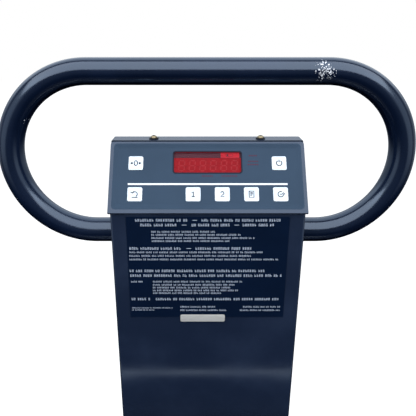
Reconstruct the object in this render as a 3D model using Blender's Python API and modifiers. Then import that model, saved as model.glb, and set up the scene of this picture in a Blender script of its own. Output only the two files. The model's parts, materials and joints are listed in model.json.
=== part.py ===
"""Wheelchair scale: a low weighing platform with two folding ramps, a patient's handrail, a mast with a
display head and a loop handle, and two transport wheels.

Metres, +Z up. The display faces -Y and a wheelchair rolls across the platform along X. The origin is on
the floor, at the middle of the scale's outline. Run it with blender --background --python part.py.
"""
from math import asin, cos, pi, radians, sin, tan

import bmesh
import bpy
from mathutils import Matrix, Vector

# Clearances
SEAT = 0.0003                # between a piece and the piece that it rests on
RUNNING = 0.0003             # round a pin or an axle, and at the ends of a knuckle
OVERRUN = 0.002              # how far a cutter passes the face that it cuts
WELD = 0.001                 # how far a welded piece reaches into the piece that carries it

# Base frame and feet
FOOT_HEIGHT = 0.010
FOOT_RADIUS = 0.018
FOOT_RECESS = 0.003
FRAME_HEIGHT = 0.020
FRAME_RAIL = 0.040
FRAME_SPINE = 0.060
FRAME_CLEARANCE = 0.012      # between the frame and the skirt of the platform round it
FRAME_CORNER = 0.008
TONGUE_MARGIN = 0.036        # how far the tongue under the mast passes the mast on each side
TONGUE_LAP = 0.004           # thickness of the tongue's lap over the rear rail
TONGUE_LAP_GAP = 0.001       # between that lap and the mast's foot plate

# Load cells: bending beams, each with a fixed end on the frame and a button under the platform
CELL_LENGTH = 0.130
CELL_WIDTH = 0.030
CELL_HEIGHT = 0.019
CELL_RISE = 0.003            # the fixed end stands this much lower than the free end
CELL_FOOT = 0.045
CELL_BORE = 0.0065
CELL_BORE_SPACING = 0.034
CELL_SLOT = 0.0015
CELL_INSET = 0.006
BUTTON_RADIUS = 0.009
BUTTON_HEIGHT = 0.005

# Platform
DECK_LENGTH = 0.762          # along X
DECK_DEPTH = 0.813           # along Y
DECK_PLATE = 0.004
DECK_SKIRT = 0.040
DECK_WALL = 0.003
DECK_CORNER = 0.007
RIB_WIDTH = 0.040
RIB_HEIGHT = 0.012
RIB_SPACING = 0.200
MAT_THICKNESS = 0.0022
MAT_RIB = 0.0012
MAT_RIBS = 36
MAT_MARGIN = 0.014
MAT_REAR_MARGIN = 0.150

# Ramps, their hinges and their grip strips
RAMP_LENGTH = 0.330
RAMP_PLATE = 0.005
RAMP_FLOOR_GAP = 0.0005
RAMP_SIDE_MARGIN = 0.010
RAMP_LIP = 0.003
RAMP_LIP_GAP = 0.0015
RAMP_TIP_CORNER = 0.020
KNUCKLE_RADIUS = 0.008
KNUCKLES = 7
RAMP_PIN_RADIUS = 0.004
PIN_HEAD_RADIUS = 0.0065
PIN_HEAD = 0.003
TREAD_WIDTH = 0.050
TREAD_THICKNESS = 0.0012
TREAD_MARGIN = 0.020
TREADS = 3

# Handrail on the platform
RAIL_RADIUS = 0.0127
RAIL_INSET = 0.081           # from the side of the platform to the rail's axis
RAIL_TOP = 0.700             # height of the top bar's axis above the floor
RAIL_BEND = 0.075
RAIL_SETBACK = 0.050         # from the rear edge of the platform to the rail's axis
FLANGE_RADIUS = 0.034
FLANGE_THICKNESS = 0.005
COLLAR_HEIGHT = 0.022
COLLAR_WALL = 0.004

# Mast
MAST_WIDTH = 0.256
MAST_DEPTH = 0.080
MAST_WALL = 0.002
MAST_CORNER = 0.0035
MAST_RETURN = 0.020
MAST_GAP = 0.015             # between the platform and the mast
COVER_THICKNESS = 0.0017
COVER_MARGIN = 0.002
COVER_NOTCH_GAP = 0.0012
FOOT_PLATE = 0.006
FOOT_PLATE_MARGIN = 0.030
FOOT_PLATE_REAR = 0.018
FOOT_PLATE_FRONT = 0.009
SOCKET_HEIGHT = 0.060
SOCKET_WALL = 0.004
GUSSET_THICKNESS = 0.005

# Transport wheels
WHEEL_RADIUS = 0.0635
WHEEL_WIDTH = 0.032
WHEEL_FLOOR_GAP = 0.004
WHEEL_SETBACK = 0.045
WHEEL_GAP = 0.008
TYRE_DEPTH = 0.018
TYRE_SHOULDER = 0.009
HUB_BOSS_RADIUS = 0.014
HUB_WEB = 0.008
HUB_RIM = 0.004
AXLE_RADIUS = 0.006
AXLE_HEAD_RADIUS = 0.010
AXLE_HEAD = 0.004
EAR_THICKNESS = 0.006
EAR_RADIUS = 0.014
EAR_INSET = 0.006

# Display head, measured up its sloped face from the lower front edge
HEAD_Z = 1.000               # top of the mast above the floor
FACE_SLOPE = radians(54.0)
FACE_LENGTH = 0.1028
LIP_OVERHANG = 0.0034
LIP_RISE = 0.002
HOUSING_WALL = 0.002
HOUSING_SIDE_FIT = 0.0005
HOUSING_REAR_FIT = 0.001
HOUSING_CORNER = 0.0025
HOUSING_LEDGE = 0.0036
GROOVE = 0.0015              # seam between the bezel and the top of the housing
BEZEL_THICKNESS = 0.003
BEZEL_SIDE = 0.0057
BEZEL_BOTTOM = 0.0065
BEZEL_TOP = 0.0041
BEZEL_CORNER = 0.004
BEZEL_EDGE = 0.0006
RECESS = 0.0015              # the keypad panel lies this far below the bezel's front
PANEL_FIT = 0.0002

# Keys, display and circuit board
KEY_SIZE = 0.0195
KEY_CORNER = 0.0023
KEY_PROUD = 0.0008
KEY_TRAVEL = 0.0005
KEY_FIT = 0.0003
KEY_FLANGE = 0.0012
KEY_FLANGE_THICKNESS = 0.001
KEY_STEM = 0.006
KEY_STEM_LENGTH = 0.0007
LOWER_ROW = 0.0265
UPPER_ROW = 0.0701
KEY_SIDE_MARGIN = 0.01935    # between the outer keys and the side of the keypad panel
WINDOW_WIDTH = 0.0910
WINDOW_HEIGHT = 0.0305
WINDOW_CENTRE = 0.07155
WINDOW_CORNER = 0.0026
LENS_THICKNESS = 0.002
LENS_INSET = 0.0002
LENS_FIT = 0.0003
MODULE_MARGIN = 0.0016
SWITCH_SIZE = 0.006
SWITCH_HEIGHT = 0.0032
BOARD_THICKNESS = 0.0016
BOARD_MARGIN = 0.0035
POST_RADIUS = 0.0014
POST_INSET = 0.002

# Battery bay in the rear of the head
BATTERY_RADIUS = 0.0171
BATTERY_LENGTH = 0.0608
BATTERY_TIP = 0.0015
BATTERY_TIP_RADIUS = 0.0047
BATTERY_EDGE = 0.0008
BATTERY_GAP = 0.0003
BATTERY_ROWS = 2
BATTERY_COLUMNS = 3
TRAY_WALL = 0.0012
BAY_CLEARANCE = 0.0107       # between the tray and the circuit board in front of it
BAY_RIM = 0.0045
DOOR_THICKNESS = 0.002
DOOR_OVERLAP = 0.003
DOOR_CORNER = 0.002
DOOR_KNUCKLE_RADIUS = 0.003
DOOR_PIN_RADIUS = 0.0012
DOOR_KNUCKLES = 5
DOOR_PULL_WIDTH = 0.040
DOOR_PULL_DEPTH = 0.006
DOOR_PULL_THICKNESS = 0.0018

# Loop handle and the saddles that hold it to the mast
HANDLE_RADIUS = 0.0185
HANDLE_BEND = 0.1172
HANDLE_STRAIGHT = 0.3322
HANDLE_BAY_GAP = 0.0045      # between the battery bay's rim and the lower run of the handle
SADDLE_WIDTH = 0.018
SADDLE_WALL = 0.003
SADDLE_FLANGE = 0.015

# Instruction panel and plate on the mast
SIGN_WIDTH = 0.2145
SIGN_HEIGHT = 0.1512
SIGN_DROP = 0.0034
SIGN_THICKNESS = 0.0005
SIGN_CORNER = 0.001
PLATE_WIDTH = 0.0626
PLATE_HEIGHT = 0.0112
PLATE_LAP = 0.004            # how far the plate laps over the panel's lower edge
PLATE_SHIFT = 0.006
PLATE_THICKNESS = 0.0006
PLATE_CORNER = 0.0015

# Facets
ROUND_STEPS = 16
FINE_STEPS = 28
SMALL_STEPS = 10
FILLET_STEPS = 3
BEND_STEPS = 8
HANDLE_BEND_STEPS = 18
SMOOTH_ANGLE = radians(35)
FLAT_ANGLE = radians(0.3)

# Heights that follow
FRAME_Z = FOOT_HEIGHT + SEAT
FRAME_TOP = FRAME_Z + FRAME_HEIGHT
CELL_Z = FRAME_TOP + SEAT
CELL_TOP = CELL_Z + CELL_RISE + CELL_HEIGHT
DECK_UNDERSIDE = CELL_TOP + BUTTON_HEIGHT + SEAT
DECK_TOP = DECK_UNDERSIDE + DECK_PLATE
HINGE_Z = DECK_TOP - KNUCKLE_RADIUS
AXLE_Z = WHEEL_RADIUS + WHEEL_FLOOR_GAP
FOOT_PLATE_Z = FRAME_TOP + SEAT
MAST_Z = FOOT_PLATE_Z + FOOT_PLATE + SEAT

# Places along Y, from the front edge of the platform to the back of the wheels
SCALE_DEPTH = DECK_DEPTH + MAST_GAP + MAST_DEPTH + WHEEL_SETBACK + WHEEL_RADIUS
DECK_FRONT_Y = -SCALE_DEPTH / 2
DECK_REAR_Y = DECK_FRONT_Y + DECK_DEPTH
DECK_Y = (DECK_FRONT_Y + DECK_REAR_Y) / 2
MAST_Y = DECK_REAR_Y + MAST_GAP
MAST_REAR_Y = MAST_Y + MAST_DEPTH
AXLE_Y = MAST_REAR_Y + WHEEL_SETBACK
RAIL_Y = DECK_REAR_Y - RAIL_SETBACK
TONGUE_REAR_Y = AXLE_Y + EAR_RADIUS + WELD

# Places along X
HINGE_X = DECK_LENGTH / 2 + SEAT + KNUCKLE_RADIUS
FRAME_HALF = DECK_LENGTH / 2 - DECK_WALL - FRAME_CLEARANCE
TONGUE_HALF = MAST_WIDTH / 2 + TONGUE_MARGIN
WHEEL_X = TONGUE_HALF + WHEEL_GAP + WHEEL_WIDTH / 2
HOUSING_HALF = MAST_WIDTH / 2 + HOUSING_SIDE_FIT + HOUSING_WALL
RAIL_HALF_SPAN = DECK_LENGTH / 2 - RAIL_INSET

# Ramp slope, with the tip just above the floor
RAMP_SLOPE = asin((HINGE_Z - RAMP_FLOOR_GAP - RAMP_PLATE / 2) / RAMP_LENGTH)
RAMP_DEPTH = DECK_DEPTH - 2 * RAMP_SIDE_MARGIN
KNUCKLE_PITCH = RAMP_DEPTH / KNUCKLES
KNUCKLE_BORE = RAMP_PIN_RADIUS + RUNNING

# Levels below the head's sloped face, counted along its outward normal
PANEL_FRONT = -RECESS
PANEL_BACK = -BEZEL_THICKNESS
HOUSING_FACE = PANEL_BACK - SEAT
HOUSING_FACE_BACK = HOUSING_FACE - HOUSING_WALL
KEY_TOP = PANEL_FRONT + KEY_PROUD
KEY_FLANGE_FRONT = PANEL_BACK - SEAT
KEY_FLANGE_BACK = KEY_FLANGE_FRONT - KEY_FLANGE_THICKNESS
KEY_BOTTOM = KEY_FLANGE_BACK - KEY_STEM_LENGTH
SWITCH_TOP = KEY_BOTTOM - KEY_TRAVEL - KEY_FIT
BOARD_FRONT = SWITCH_TOP - SWITCH_HEIGHT
BOARD_BACK = BOARD_FRONT - BOARD_THICKNESS
LENS_FRONT = PANEL_FRONT - LENS_INSET
LENS_BACK = LENS_FRONT - LENS_THICKNESS

# Sizes on the sloped face
BEZEL_LENGTH = FACE_LENGTH - GROOVE
RECESS_WIDTH = 2 * (HOUSING_HALF - BEZEL_SIDE)
RECESS_HEIGHT = BEZEL_LENGTH - BEZEL_BOTTOM - BEZEL_TOP
RECESS_CENTRE = BEZEL_BOTTOM + RECESS_HEIGHT / 2
OPENING_WIDTH = RECESS_WIDTH - 2 * HOUSING_LEDGE
OPENING_HEIGHT = RECESS_HEIGHT - 2 * HOUSING_LEDGE
BOARD_WIDTH = 2 * (HOUSING_HALF - HOUSING_WALL - BOARD_MARGIN)
BOARD_HEIGHT = OPENING_HEIGHT + HOUSING_LEDGE
OUTER_COLUMN = RECESS_WIDTH / 2 - KEY_SIDE_MARGIN - KEY_SIZE / 2
UNIT_COLUMN = OUTER_COLUMN / 5       # the columns are odd steps of this from the middle
PRINT_COLUMN = 3 * UNIT_COLUMN
KEYS = {
    "key_power": (OUTER_COLUMN, UPPER_ROW),
    "key_zero": (-OUTER_COLUMN, UPPER_ROW),
    "key_recall": (-OUTER_COLUMN, LOWER_ROW),
    "key_pounds": (-UNIT_COLUMN, LOWER_ROW),
    "key_kilograms": (UNIT_COLUMN, LOWER_ROW),
    "key_print": (PRINT_COLUMN, LOWER_ROW),
    "key_reweigh": (OUTER_COLUMN, LOWER_ROW),
}

# Battery bay: the tray stands behind the board, as high as the board's slope lets it
HOUSING_REAR_Y = MAST_REAR_Y + HOUSING_REAR_FIT + HOUSING_WALL
BAY_WIDTH = BATTERY_COLUMNS * (BATTERY_LENGTH + BATTERY_GAP) + BATTERY_GAP
BAY_HEIGHT = BATTERY_ROWS * (2 * BATTERY_RADIUS + BATTERY_GAP) + BATTERY_GAP
BAY_DEPTH = 2 * BATTERY_RADIUS + BATTERY_GAP
TRAY_REAR_Y = HOUSING_REAR_Y - HOUSING_WALL - SEAT
TRAY_DEPTH = BAY_DEPTH + TRAY_WALL
BOARD_FOOT_Y = MAST_Y - LIP_OVERHANG - BOARD_BACK * sin(FACE_SLOPE)
BOARD_FOOT_Z = HEAD_Z + LIP_RISE + BOARD_BACK * cos(FACE_SLOPE)
TRAY_TOP = BOARD_FOOT_Z + (TRAY_REAR_Y - TRAY_DEPTH - BAY_CLEARANCE - BOARD_FOOT_Y) * tan(FACE_SLOPE)
BAY_Z = TRAY_TOP - TRAY_WALL - BAY_HEIGHT / 2
SKIRT_HALF = BAY_WIDTH / 2 + BAY_RIM + DOOR_OVERLAP
SKIRT_BOTTOM = BAY_Z - BAY_HEIGHT / 2 - BAY_RIM
DOOR_WIDTH = BAY_WIDTH + 2 * DOOR_OVERLAP
DOOR_AXIS_Y = HOUSING_REAR_Y + SEAT + DOOR_KNUCKLE_RADIUS
DOOR_AXIS_Z = BAY_Z + BAY_HEIGHT / 2 + DOOR_OVERLAP + DOOR_KNUCKLE_RADIUS + RUNNING
DOOR_BOTTOM = BAY_Z - BAY_HEIGHT / 2 - DOOR_OVERLAP

# Handle: a closed tube whose lower run crosses the mast's back, under the battery bay
HANDLE_Y = MAST_REAR_Y + SEAT + HANDLE_RADIUS
HANDLE_LOW_Z = SKIRT_BOTTOM - HANDLE_BAY_GAP - HANDLE_RADIUS
HANDLE_Z = HANDLE_LOW_Z + HANDLE_BEND
SADDLE_X = SKIRT_HALF + SEAT + SADDLE_WIDTH / 2

# How a flat outline is turned: its own X and Y become these two world axes
FLAT = (0, 0, 0)                     # X and Y
UPRIGHT = (pi / 2, 0, 0)             # X and Z, growing thicker towards -Y
SIDEWAYS = (pi / 2, 0, pi / 2)       # Y and Z, growing thicker towards +X


def clear_scene():
    for old in list(bpy.data.objects):
        bpy.data.objects.remove(old, do_unlink=True)


def make_collection(name):
    collection = bpy.data.collections.new(name)
    bpy.context.scene.collection.children.link(collection)
    return collection


def make_material(name, colour, roughness, metallic=0.0, alpha=1.0):
    material = bpy.data.materials.new(name)
    material.use_nodes = True
    shader = material.node_tree.nodes["Principled BSDF"]
    shader.inputs["Base Color"].default_value = (*colour, 1)
    shader.inputs["Roughness"].default_value = roughness
    shader.inputs["Metallic"].default_value = metallic
    shader.inputs["Alpha"].default_value = alpha
    material.diffuse_color = (*colour, alpha)
    return material


def add_object(name, mesh, finish, location=(0, 0, 0), rotation=FLAT, parent=None):
    piece = bpy.data.objects.new(name, mesh)
    PARTS.objects.link(piece)
    piece.location = location
    piece.rotation_euler = rotation
    piece.parent = parent
    if not mesh.materials:
        mesh.materials.append(make_material(name, *FINISHES[finish]))
    return piece


def smooth(mesh):
    mesh.shade_smooth()
    mesh.set_sharp_from_angle(angle=SMOOTH_ANGLE)


def welded_mesh(curve, lift=0.0):
    """Makes a closed mesh from a curve: its caps are welded on and its faces point out."""
    source = bpy.data.objects.new(curve.name, curve)
    PARTS.objects.link(source)
    bpy.context.view_layer.update()
    evaluated = source.evaluated_get(bpy.context.evaluated_depsgraph_get())
    mesh = bpy.data.meshes.new_from_object(evaluated)
    bpy.data.objects.remove(source)
    shape = bmesh.new()
    shape.from_mesh(mesh)
    bmesh.ops.remove_doubles(shape, verts=shape.verts, dist=SEAT / 100)
    bmesh.ops.recalc_face_normals(shape, faces=shape.faces)
    bmesh.ops.dissolve_limit(shape, angle_limit=FLAT_ANGLE, verts=shape.verts, edges=shape.edges)
    bmesh.ops.translate(shape, verts=shape.verts, vec=(0, 0, lift))
    shape.to_mesh(mesh)
    shape.free()
    return mesh


def fillet(corners):
    """Turns corners (x, y, radius) into an outline whose corners are arcs, limited by the sides."""
    outline = []
    count = len(corners)
    for index, (x, y, radius) in enumerate(corners):
        corner = Vector((x, y))
        back = Vector(corners[index - 1][:2]) - corner
        ahead = Vector(corners[(index + 1) % count][:2]) - corner
        half_angle = back.angle(ahead) / 2
        reach = min(radius / tan(half_angle), back.length / 2, ahead.length / 2)
        if reach <= 0:
            outline.append(corner)
            continue
        start = corner + back.normalized() * reach
        end = corner + ahead.normalized() * reach
        towards = (back.normalized() + ahead.normalized()).normalized()
        centre = corner + towards * (reach / cos(half_angle))
        turn = (start - centre).angle_signed(end - centre)
        for step in range(FILLET_STEPS + 1):
            spoke = start - centre
            spoke.rotate(Matrix.Rotation(-turn * step / FILLET_STEPS, 2))
            outline.append(centre + spoke)
    return outline


def rectangle(width, height, radius=0.0, centre=(0, 0)):
    x, y = centre
    return fillet([
        (x - width / 2, y - height / 2, radius),
        (x + width / 2, y - height / 2, radius),
        (x + width / 2, y + height / 2, radius),
        (x - width / 2, y + height / 2, radius),
    ])


def arc(radius, start, end, steps, centre=(0, 0)):
    """Gives points on an arc, from the start angle to the end angle, both included."""
    angles = [start + (end - start) * step / steps for step in range(steps + 1)]
    return [Vector((centre[0] + radius * cos(angle), centre[1] + radius * sin(angle))) for angle in angles]


def circle(radius, centre=(0, 0), steps=ROUND_STEPS):
    return arc(radius, 0, 2 * pi, steps, centre)[:-1]


def plate_mesh(name, outlines, thickness):
    """A flat outline with a thickness, from its own z = 0 up. Outlines inside the first are holes."""
    curve = bpy.data.curves.new(name, "CURVE")
    curve.dimensions = "2D"
    curve.fill_mode = "BOTH"
    curve.extrude = thickness / 2
    for outline in outlines:
        points = [point for index, point in enumerate(outline)
                  if (Vector(point) - Vector(outline[index - 1])).length > SEAT / 100]
        spline = curve.splines.new("POLY")
        spline.points.add(len(points) - 1)
        spline.use_cyclic_u = True
        for target, point in zip(spline.points, points):
            target.co = (point[0], point[1], 0, 1)
    return welded_mesh(curve, lift=thickness / 2)


def plate(name, outlines, thickness, finish, location=(0, 0, 0), rotation=FLAT, parent=None):
    mesh = plate_mesh(name, outlines, thickness)
    return add_object(name, mesh, finish, location, rotation, parent)


def box(name, size, centre, finish, parent=None):
    """A box that is given by its size and its centre."""
    mesh = bpy.data.meshes.new(name)
    shape = bmesh.new()
    bmesh.ops.create_cube(shape, size=1.0)
    bmesh.ops.scale(shape, verts=shape.verts, vec=size)
    shape.to_mesh(mesh)
    shape.free()
    return add_object(name, mesh, finish, centre, FLAT, parent)


def tube(name, path, radius, finish, sides, cyclic=False):
    """A round bar along a path of points, with closed ends or closed on itself."""
    curve = bpy.data.curves.new(name, "CURVE")
    curve.dimensions = "3D"
    curve.fill_mode = "FULL"
    curve.bevel_depth = radius
    curve.bevel_resolution = sides // 2 - 2
    curve.use_fill_caps = not cyclic
    spline = curve.splines.new("POLY")
    spline.points.add(len(path) - 1)
    spline.use_cyclic_u = cyclic
    for target, point in zip(spline.points, path):
        target.co = (*point, 1)
    mesh = welded_mesh(curve)
    smooth(mesh)
    return add_object(name, mesh, finish)


def turned(name, profile, finish, location=(0, 0, 0), rotation=FLAT, steps=ROUND_STEPS, ring=False):
    """Turns a profile of (radius, height) points, listed down its outer side, about its own Z axis."""
    mesh = bpy.data.meshes.new(name)
    points = [(radius, 0, height) for radius, height in profile]
    edges = [(index, index + 1) for index in range(len(points) - 1)]
    if ring:
        edges.append((len(points) - 1, 0))
    mesh.from_pydata(points, edges, [])
    piece = add_object(name, mesh, finish, location, rotation)
    screw = piece.modifiers.new("turn", "SCREW")
    screw.axis = "Z"
    screw.angle = 2 * pi
    screw.steps = steps
    screw.render_steps = steps
    screw.use_merge_vertices = True
    screw.merge_threshold = SEAT / 100
    screw.use_smooth_shade = True
    return piece


def use_as_tool(target, tool, operation):
    PARTS.objects.unlink(tool)
    TOOLS.objects.link(tool)
    tool.hide_render = True
    tool.display_type = "WIRE"
    modifier = target.modifiers.new(tool.name, "BOOLEAN")
    modifier.operation = operation
    modifier.solver = "EXACT"
    modifier.object = tool
    return target


def cut(target, *cutters):
    for cutter in cutters:
        use_as_tool(target, cutter, "DIFFERENCE")
    return target


def weld(target, *pieces):
    for piece in pieces:
        use_as_tool(target, piece, "UNION")
    return target


def bake(piece):
    """Turns a piece with its modifiers into a plain mesh that several objects can share."""
    bpy.context.view_layer.update()
    evaluated = piece.evaluated_get(bpy.context.evaluated_depsgraph_get())
    mesh = bpy.data.meshes.new_from_object(evaluated)
    mesh.transform(piece.matrix_world)
    mesh.materials.clear()
    tools = [modifier.object for modifier in piece.modifiers if modifier.type == "BOOLEAN"]
    for spent in (piece, *tools):
        bpy.data.objects.remove(spent)
    return mesh


def add_empty(name, location, rotation=FLAT):
    empty = bpy.data.objects.new(name, None)
    PARTS.objects.link(empty)
    empty.location = location
    empty.rotation_euler = rotation
    return empty


def face_point(along, out):
    """Gives the y and z of a point on the head: up its sloped face and out of it."""
    y = MAST_Y - LIP_OVERHANG + along * cos(FACE_SLOPE) - out * sin(FACE_SLOPE)
    z = HEAD_Z + LIP_RISE + along * sin(FACE_SLOPE) + out * cos(FACE_SLOPE)
    return y, z


def corner_places():
    """Gives each corner of the frame: its name, its side of X and its side of Y."""
    for end, side_y in (("front", -1), ("rear", 1)):
        for side, side_x in (("left", -1), ("right", 1)):
            yield f"{end}_{side}", side_x, side_y


def frame_ends():
    front = DECK_FRONT_Y + DECK_WALL + FRAME_CLEARANCE
    rear = DECK_REAR_Y - DECK_WALL - FRAME_CLEARANCE
    return front, rear


def make_base_frame():
    """The floor frame: rails under the platform and a spine between them."""
    front, rear = frame_ends()
    outer = rectangle(2 * FRAME_HALF, rear - front, FRAME_CORNER, (0, DECK_Y))
    bay_width = FRAME_HALF - FRAME_RAIL - FRAME_SPINE / 2
    bay_depth = (rear - front - 3 * FRAME_RAIL) / 2
    bay_x = FRAME_SPINE / 2 + bay_width / 2
    bay_y = FRAME_RAIL / 2 + bay_depth / 2
    bays = [rectangle(bay_width, bay_depth, FRAME_CORNER, (x, DECK_Y + y))
            for x in (-bay_x, bay_x) for y in (-bay_y, bay_y)]
    frame = plate("base_frame", [outer], FRAME_HEIGHT, "frame_paint", (0, 0, FRAME_Z))
    for number, bay in enumerate(bays):
        cut(frame, plate(f"frame_bay_{number}", [bay], FRAME_HEIGHT + 2 * OVERRUN, "frame_paint",
                         (0, 0, FRAME_Z - OVERRUN)))
    return frame


def make_tongue():
    """The tongue that carries the mast: it laps over the frame's rear rail and holds the axle's ears."""
    rail_rear = frame_ends()[1]
    lap_end = MAST_Y - FOOT_PLATE_FRONT - TONGUE_LAP_GAP
    lap_floor = FRAME_TOP + SEAT
    outline = [
        Vector((rail_rear + SEAT, FRAME_Z)),
        Vector((TONGUE_REAR_Y, FRAME_Z)),
        Vector((TONGUE_REAR_Y, FRAME_TOP)),
        Vector((lap_end, FRAME_TOP)),
        Vector((lap_end, lap_floor + TONGUE_LAP)),
        Vector((rail_rear - FRAME_RAIL, lap_floor + TONGUE_LAP)),
        Vector((rail_rear - FRAME_RAIL, lap_floor)),
        Vector((rail_rear + SEAT, lap_floor)),
    ]
    tongue = plate("mast_tongue", [outline], 2 * TONGUE_HALF, "frame_paint", (-TONGUE_HALF, 0, 0), SIDEWAYS)
    ear_outline = fillet([
        (AXLE_Y - EAR_RADIUS, FRAME_Z + WELD, 0),
        (AXLE_Y + EAR_RADIUS, FRAME_Z + WELD, 0),
        (AXLE_Y + EAR_RADIUS, AXLE_Z + EAR_RADIUS, EAR_RADIUS),
        (AXLE_Y - EAR_RADIUS, AXLE_Z + EAR_RADIUS, EAR_RADIUS),
    ])
    bore = circle(AXLE_RADIUS + RUNNING, (AXLE_Y, AXLE_Z))
    for side in (-1, 1):
        inner = side * (TONGUE_HALF - EAR_INSET - EAR_THICKNESS / 2) - EAR_THICKNESS / 2
        ear = plate(f"ear_{side}", [ear_outline, bore], EAR_THICKNESS, "frame_paint", (inner, 0, 0), SIDEWAYS)
        weld(tongue, ear)
    return tongue


def make_feet():
    front, rear = frame_ends()
    profile = [
        (0, FOOT_HEIGHT),
        (FOOT_RADIUS - FOOT_RECESS, FOOT_HEIGHT),
        (FOOT_RADIUS, FOOT_RECESS),
        (FOOT_RADIUS - FOOT_RECESS / 2, 0),
        (0, 0),
    ]
    for corner, side_x, side_y in corner_places():
        x = side_x * (FRAME_HALF - FRAME_RAIL / 2)
        y = (front if side_y < 0 else rear) - side_y * FRAME_RAIL / 2
        turned(f"foot_{corner}", profile, "rubber", (x, y, 0))


def make_load_cells():
    """Bending-beam cells: each has a fixed foot, a pair of joined bores and a load button."""
    outline = fillet([
        (0, CELL_RISE, 0),
        (CELL_LENGTH - CELL_FOOT, CELL_RISE, 0),
        (CELL_LENGTH - CELL_FOOT, 0, 0),
        (CELL_LENGTH, 0, 0),
        (CELL_LENGTH, CELL_RISE + CELL_HEIGHT, CELL_RISE),
        (0, CELL_RISE + CELL_HEIGHT, CELL_RISE),
    ])
    middle = (CELL_LENGTH - CELL_FOOT + BUTTON_RADIUS) / 2
    level = CELL_RISE + CELL_HEIGHT / 2
    half = CELL_BORE_SPACING / 2
    slot = asin(CELL_SLOT / CELL_BORE)
    steps = SMALL_STEPS
    bores = [
        *arc(CELL_BORE, slot, 2 * pi - slot, steps, (middle - half, level)),
        *arc(CELL_BORE, slot - pi, pi - slot, steps, (middle + half, level)),
    ]
    beam = plate("load_cell", [outline, bores], CELL_WIDTH, "bare_alloy", (-CELL_WIDTH / 2, 0, 0), SIDEWAYS)
    button_profile = [
        (0, CELL_TOP - CELL_Z + BUTTON_HEIGHT),
        (BUTTON_RADIUS, CELL_TOP - CELL_Z + BUTTON_HEIGHT),
        (BUTTON_RADIUS, CELL_TOP - CELL_Z - WELD),
        (0, CELL_TOP - CELL_Z - WELD),
    ]
    button = turned("load_button", button_profile, "bare_alloy", (0, BUTTON_RADIUS + CELL_RISE, 0))
    mesh = bake(weld(beam, button))
    front, rear = frame_ends()
    for corner, side_x, side_y in corner_places():
        x = side_x * (FRAME_HALF - FRAME_RAIL / 2)
        y = front + CELL_INSET if side_y < 0 else rear - CELL_INSET
        turn = (0, 0, 0) if side_y < 0 else (0, 0, pi)
        cell_mesh = mesh.copy()
        add_object(f"load_cell_{corner}", cell_mesh, "bare_alloy", (x, y, CELL_Z), turn)


def knuckle_span(index):
    """Gives the middle and the length of one knuckle along Y."""
    middle = DECK_Y + (index - (KNUCKLES - 1) / 2) * KNUCKLE_PITCH
    return middle, KNUCKLE_PITCH - RUNNING


def make_deck():
    """The weighed platform: a folded pan with ribs below, hinge knuckles and a gap for the tongue."""
    outer = rectangle(DECK_LENGTH, DECK_DEPTH, DECK_CORNER, (0, DECK_Y))
    inner = rectangle(DECK_LENGTH - 2 * DECK_WALL, DECK_DEPTH - 2 * DECK_WALL, DECK_CORNER - DECK_WALL,
                      (0, DECK_Y))
    skirt_bottom = DECK_UNDERSIDE - DECK_SKIRT
    deck = plate("platform_deck", [outer], DECK_PLATE + DECK_SKIRT, "deck_paint", (0, 0, skirt_bottom))
    cut(deck, plate("deck_inside", [inner], DECK_SKIRT + OVERRUN, "deck_paint",
                    (0, 0, skirt_bottom - OVERRUN)))
    gap_width = 2 * (TONGUE_HALF + FRAME_CLEARANCE)
    gap_top = FRAME_TOP + FRAME_CLEARANCE / 2
    gap_height = gap_top - skirt_bottom + OVERRUN
    cut(deck, box("tongue_gap", (gap_width, 2 * DECK_WALL + OVERRUN, gap_height),
                  (0, DECK_REAR_Y - DECK_WALL / 2, gap_top - gap_height / 2), "deck_paint"))
    front, rear = frame_ends()
    for number, x in enumerate((-RIB_SPACING, 0, RIB_SPACING)):
        rib_height = RIB_HEIGHT + WELD
        weld(deck, box(f"deck_rib_{number}", (RIB_WIDTH, rear - front, rib_height),
                       (x, DECK_Y, DECK_UNDERSIDE + WELD - rib_height / 2), "deck_paint"))
    for side in (-1, 1):
        edge = DECK_LENGTH / 2 - WELD - HINGE_X
        barrel = arc(KNUCKLE_RADIUS, -pi / 2, pi / 2, SMALL_STEPS)
        web = KNUCKLE_RADIUS - WELD / 2
        outline = [*barrel, Vector((edge, web)), Vector((edge, -web))]
        if side < 0:
            outline = [Vector((-point.x, point.y)) for point in outline]
        bore = circle(KNUCKLE_BORE, steps=SMALL_STEPS)
        for index in range(0, KNUCKLES, 2):
            middle, length = knuckle_span(index)
            weld(deck, plate(f"deck_knuckle_{side}_{index}", [outline, bore], length, "deck_paint",
                             (side * HINGE_X, middle + length / 2, HINGE_Z), UPRIGHT))
    return deck


def make_mat():
    """The ribbed rubber mat, an outline across X with a rib at each pitch."""
    width = DECK_LENGTH - 2 * MAT_MARGIN
    depth = DECK_DEPTH - MAT_MARGIN - MAT_REAR_MARGIN
    pitch = width / MAT_RIBS
    outline = [Vector((width / 2, 0)), Vector((-width / 2, 0))]
    for rib in range(MAT_RIBS):
        start = -width / 2 + rib * pitch
        outline.append(Vector((start, MAT_THICKNESS)))
        outline.append(Vector((start + pitch / 4, MAT_THICKNESS + MAT_RIB)))
        outline.append(Vector((start + 3 * pitch / 4, MAT_THICKNESS + MAT_RIB)))
    outline.append(Vector((width / 2, MAT_THICKNESS)))
    return plate("platform_mat", [outline], depth, "rubber_mat",
                 (0, DECK_FRONT_Y + MAT_MARGIN + depth, DECK_TOP + SEAT), UPRIGHT)


def ramp_knuckle_outline():
    """A barrel that narrows, like a drop, to the thickness of the ramp's plate."""
    root = 3 * KNUCKLE_RADIUS
    lean = asin(KNUCKLE_RADIUS / root)
    barrel = arc(KNUCKLE_RADIUS, pi / 2 - lean / 2, 3 * pi / 2 + lean / 2, SMALL_STEPS)
    return [*barrel, Vector((root, -RAMP_PLATE / 2)), Vector((root, RAMP_PLATE / 2))]


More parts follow.
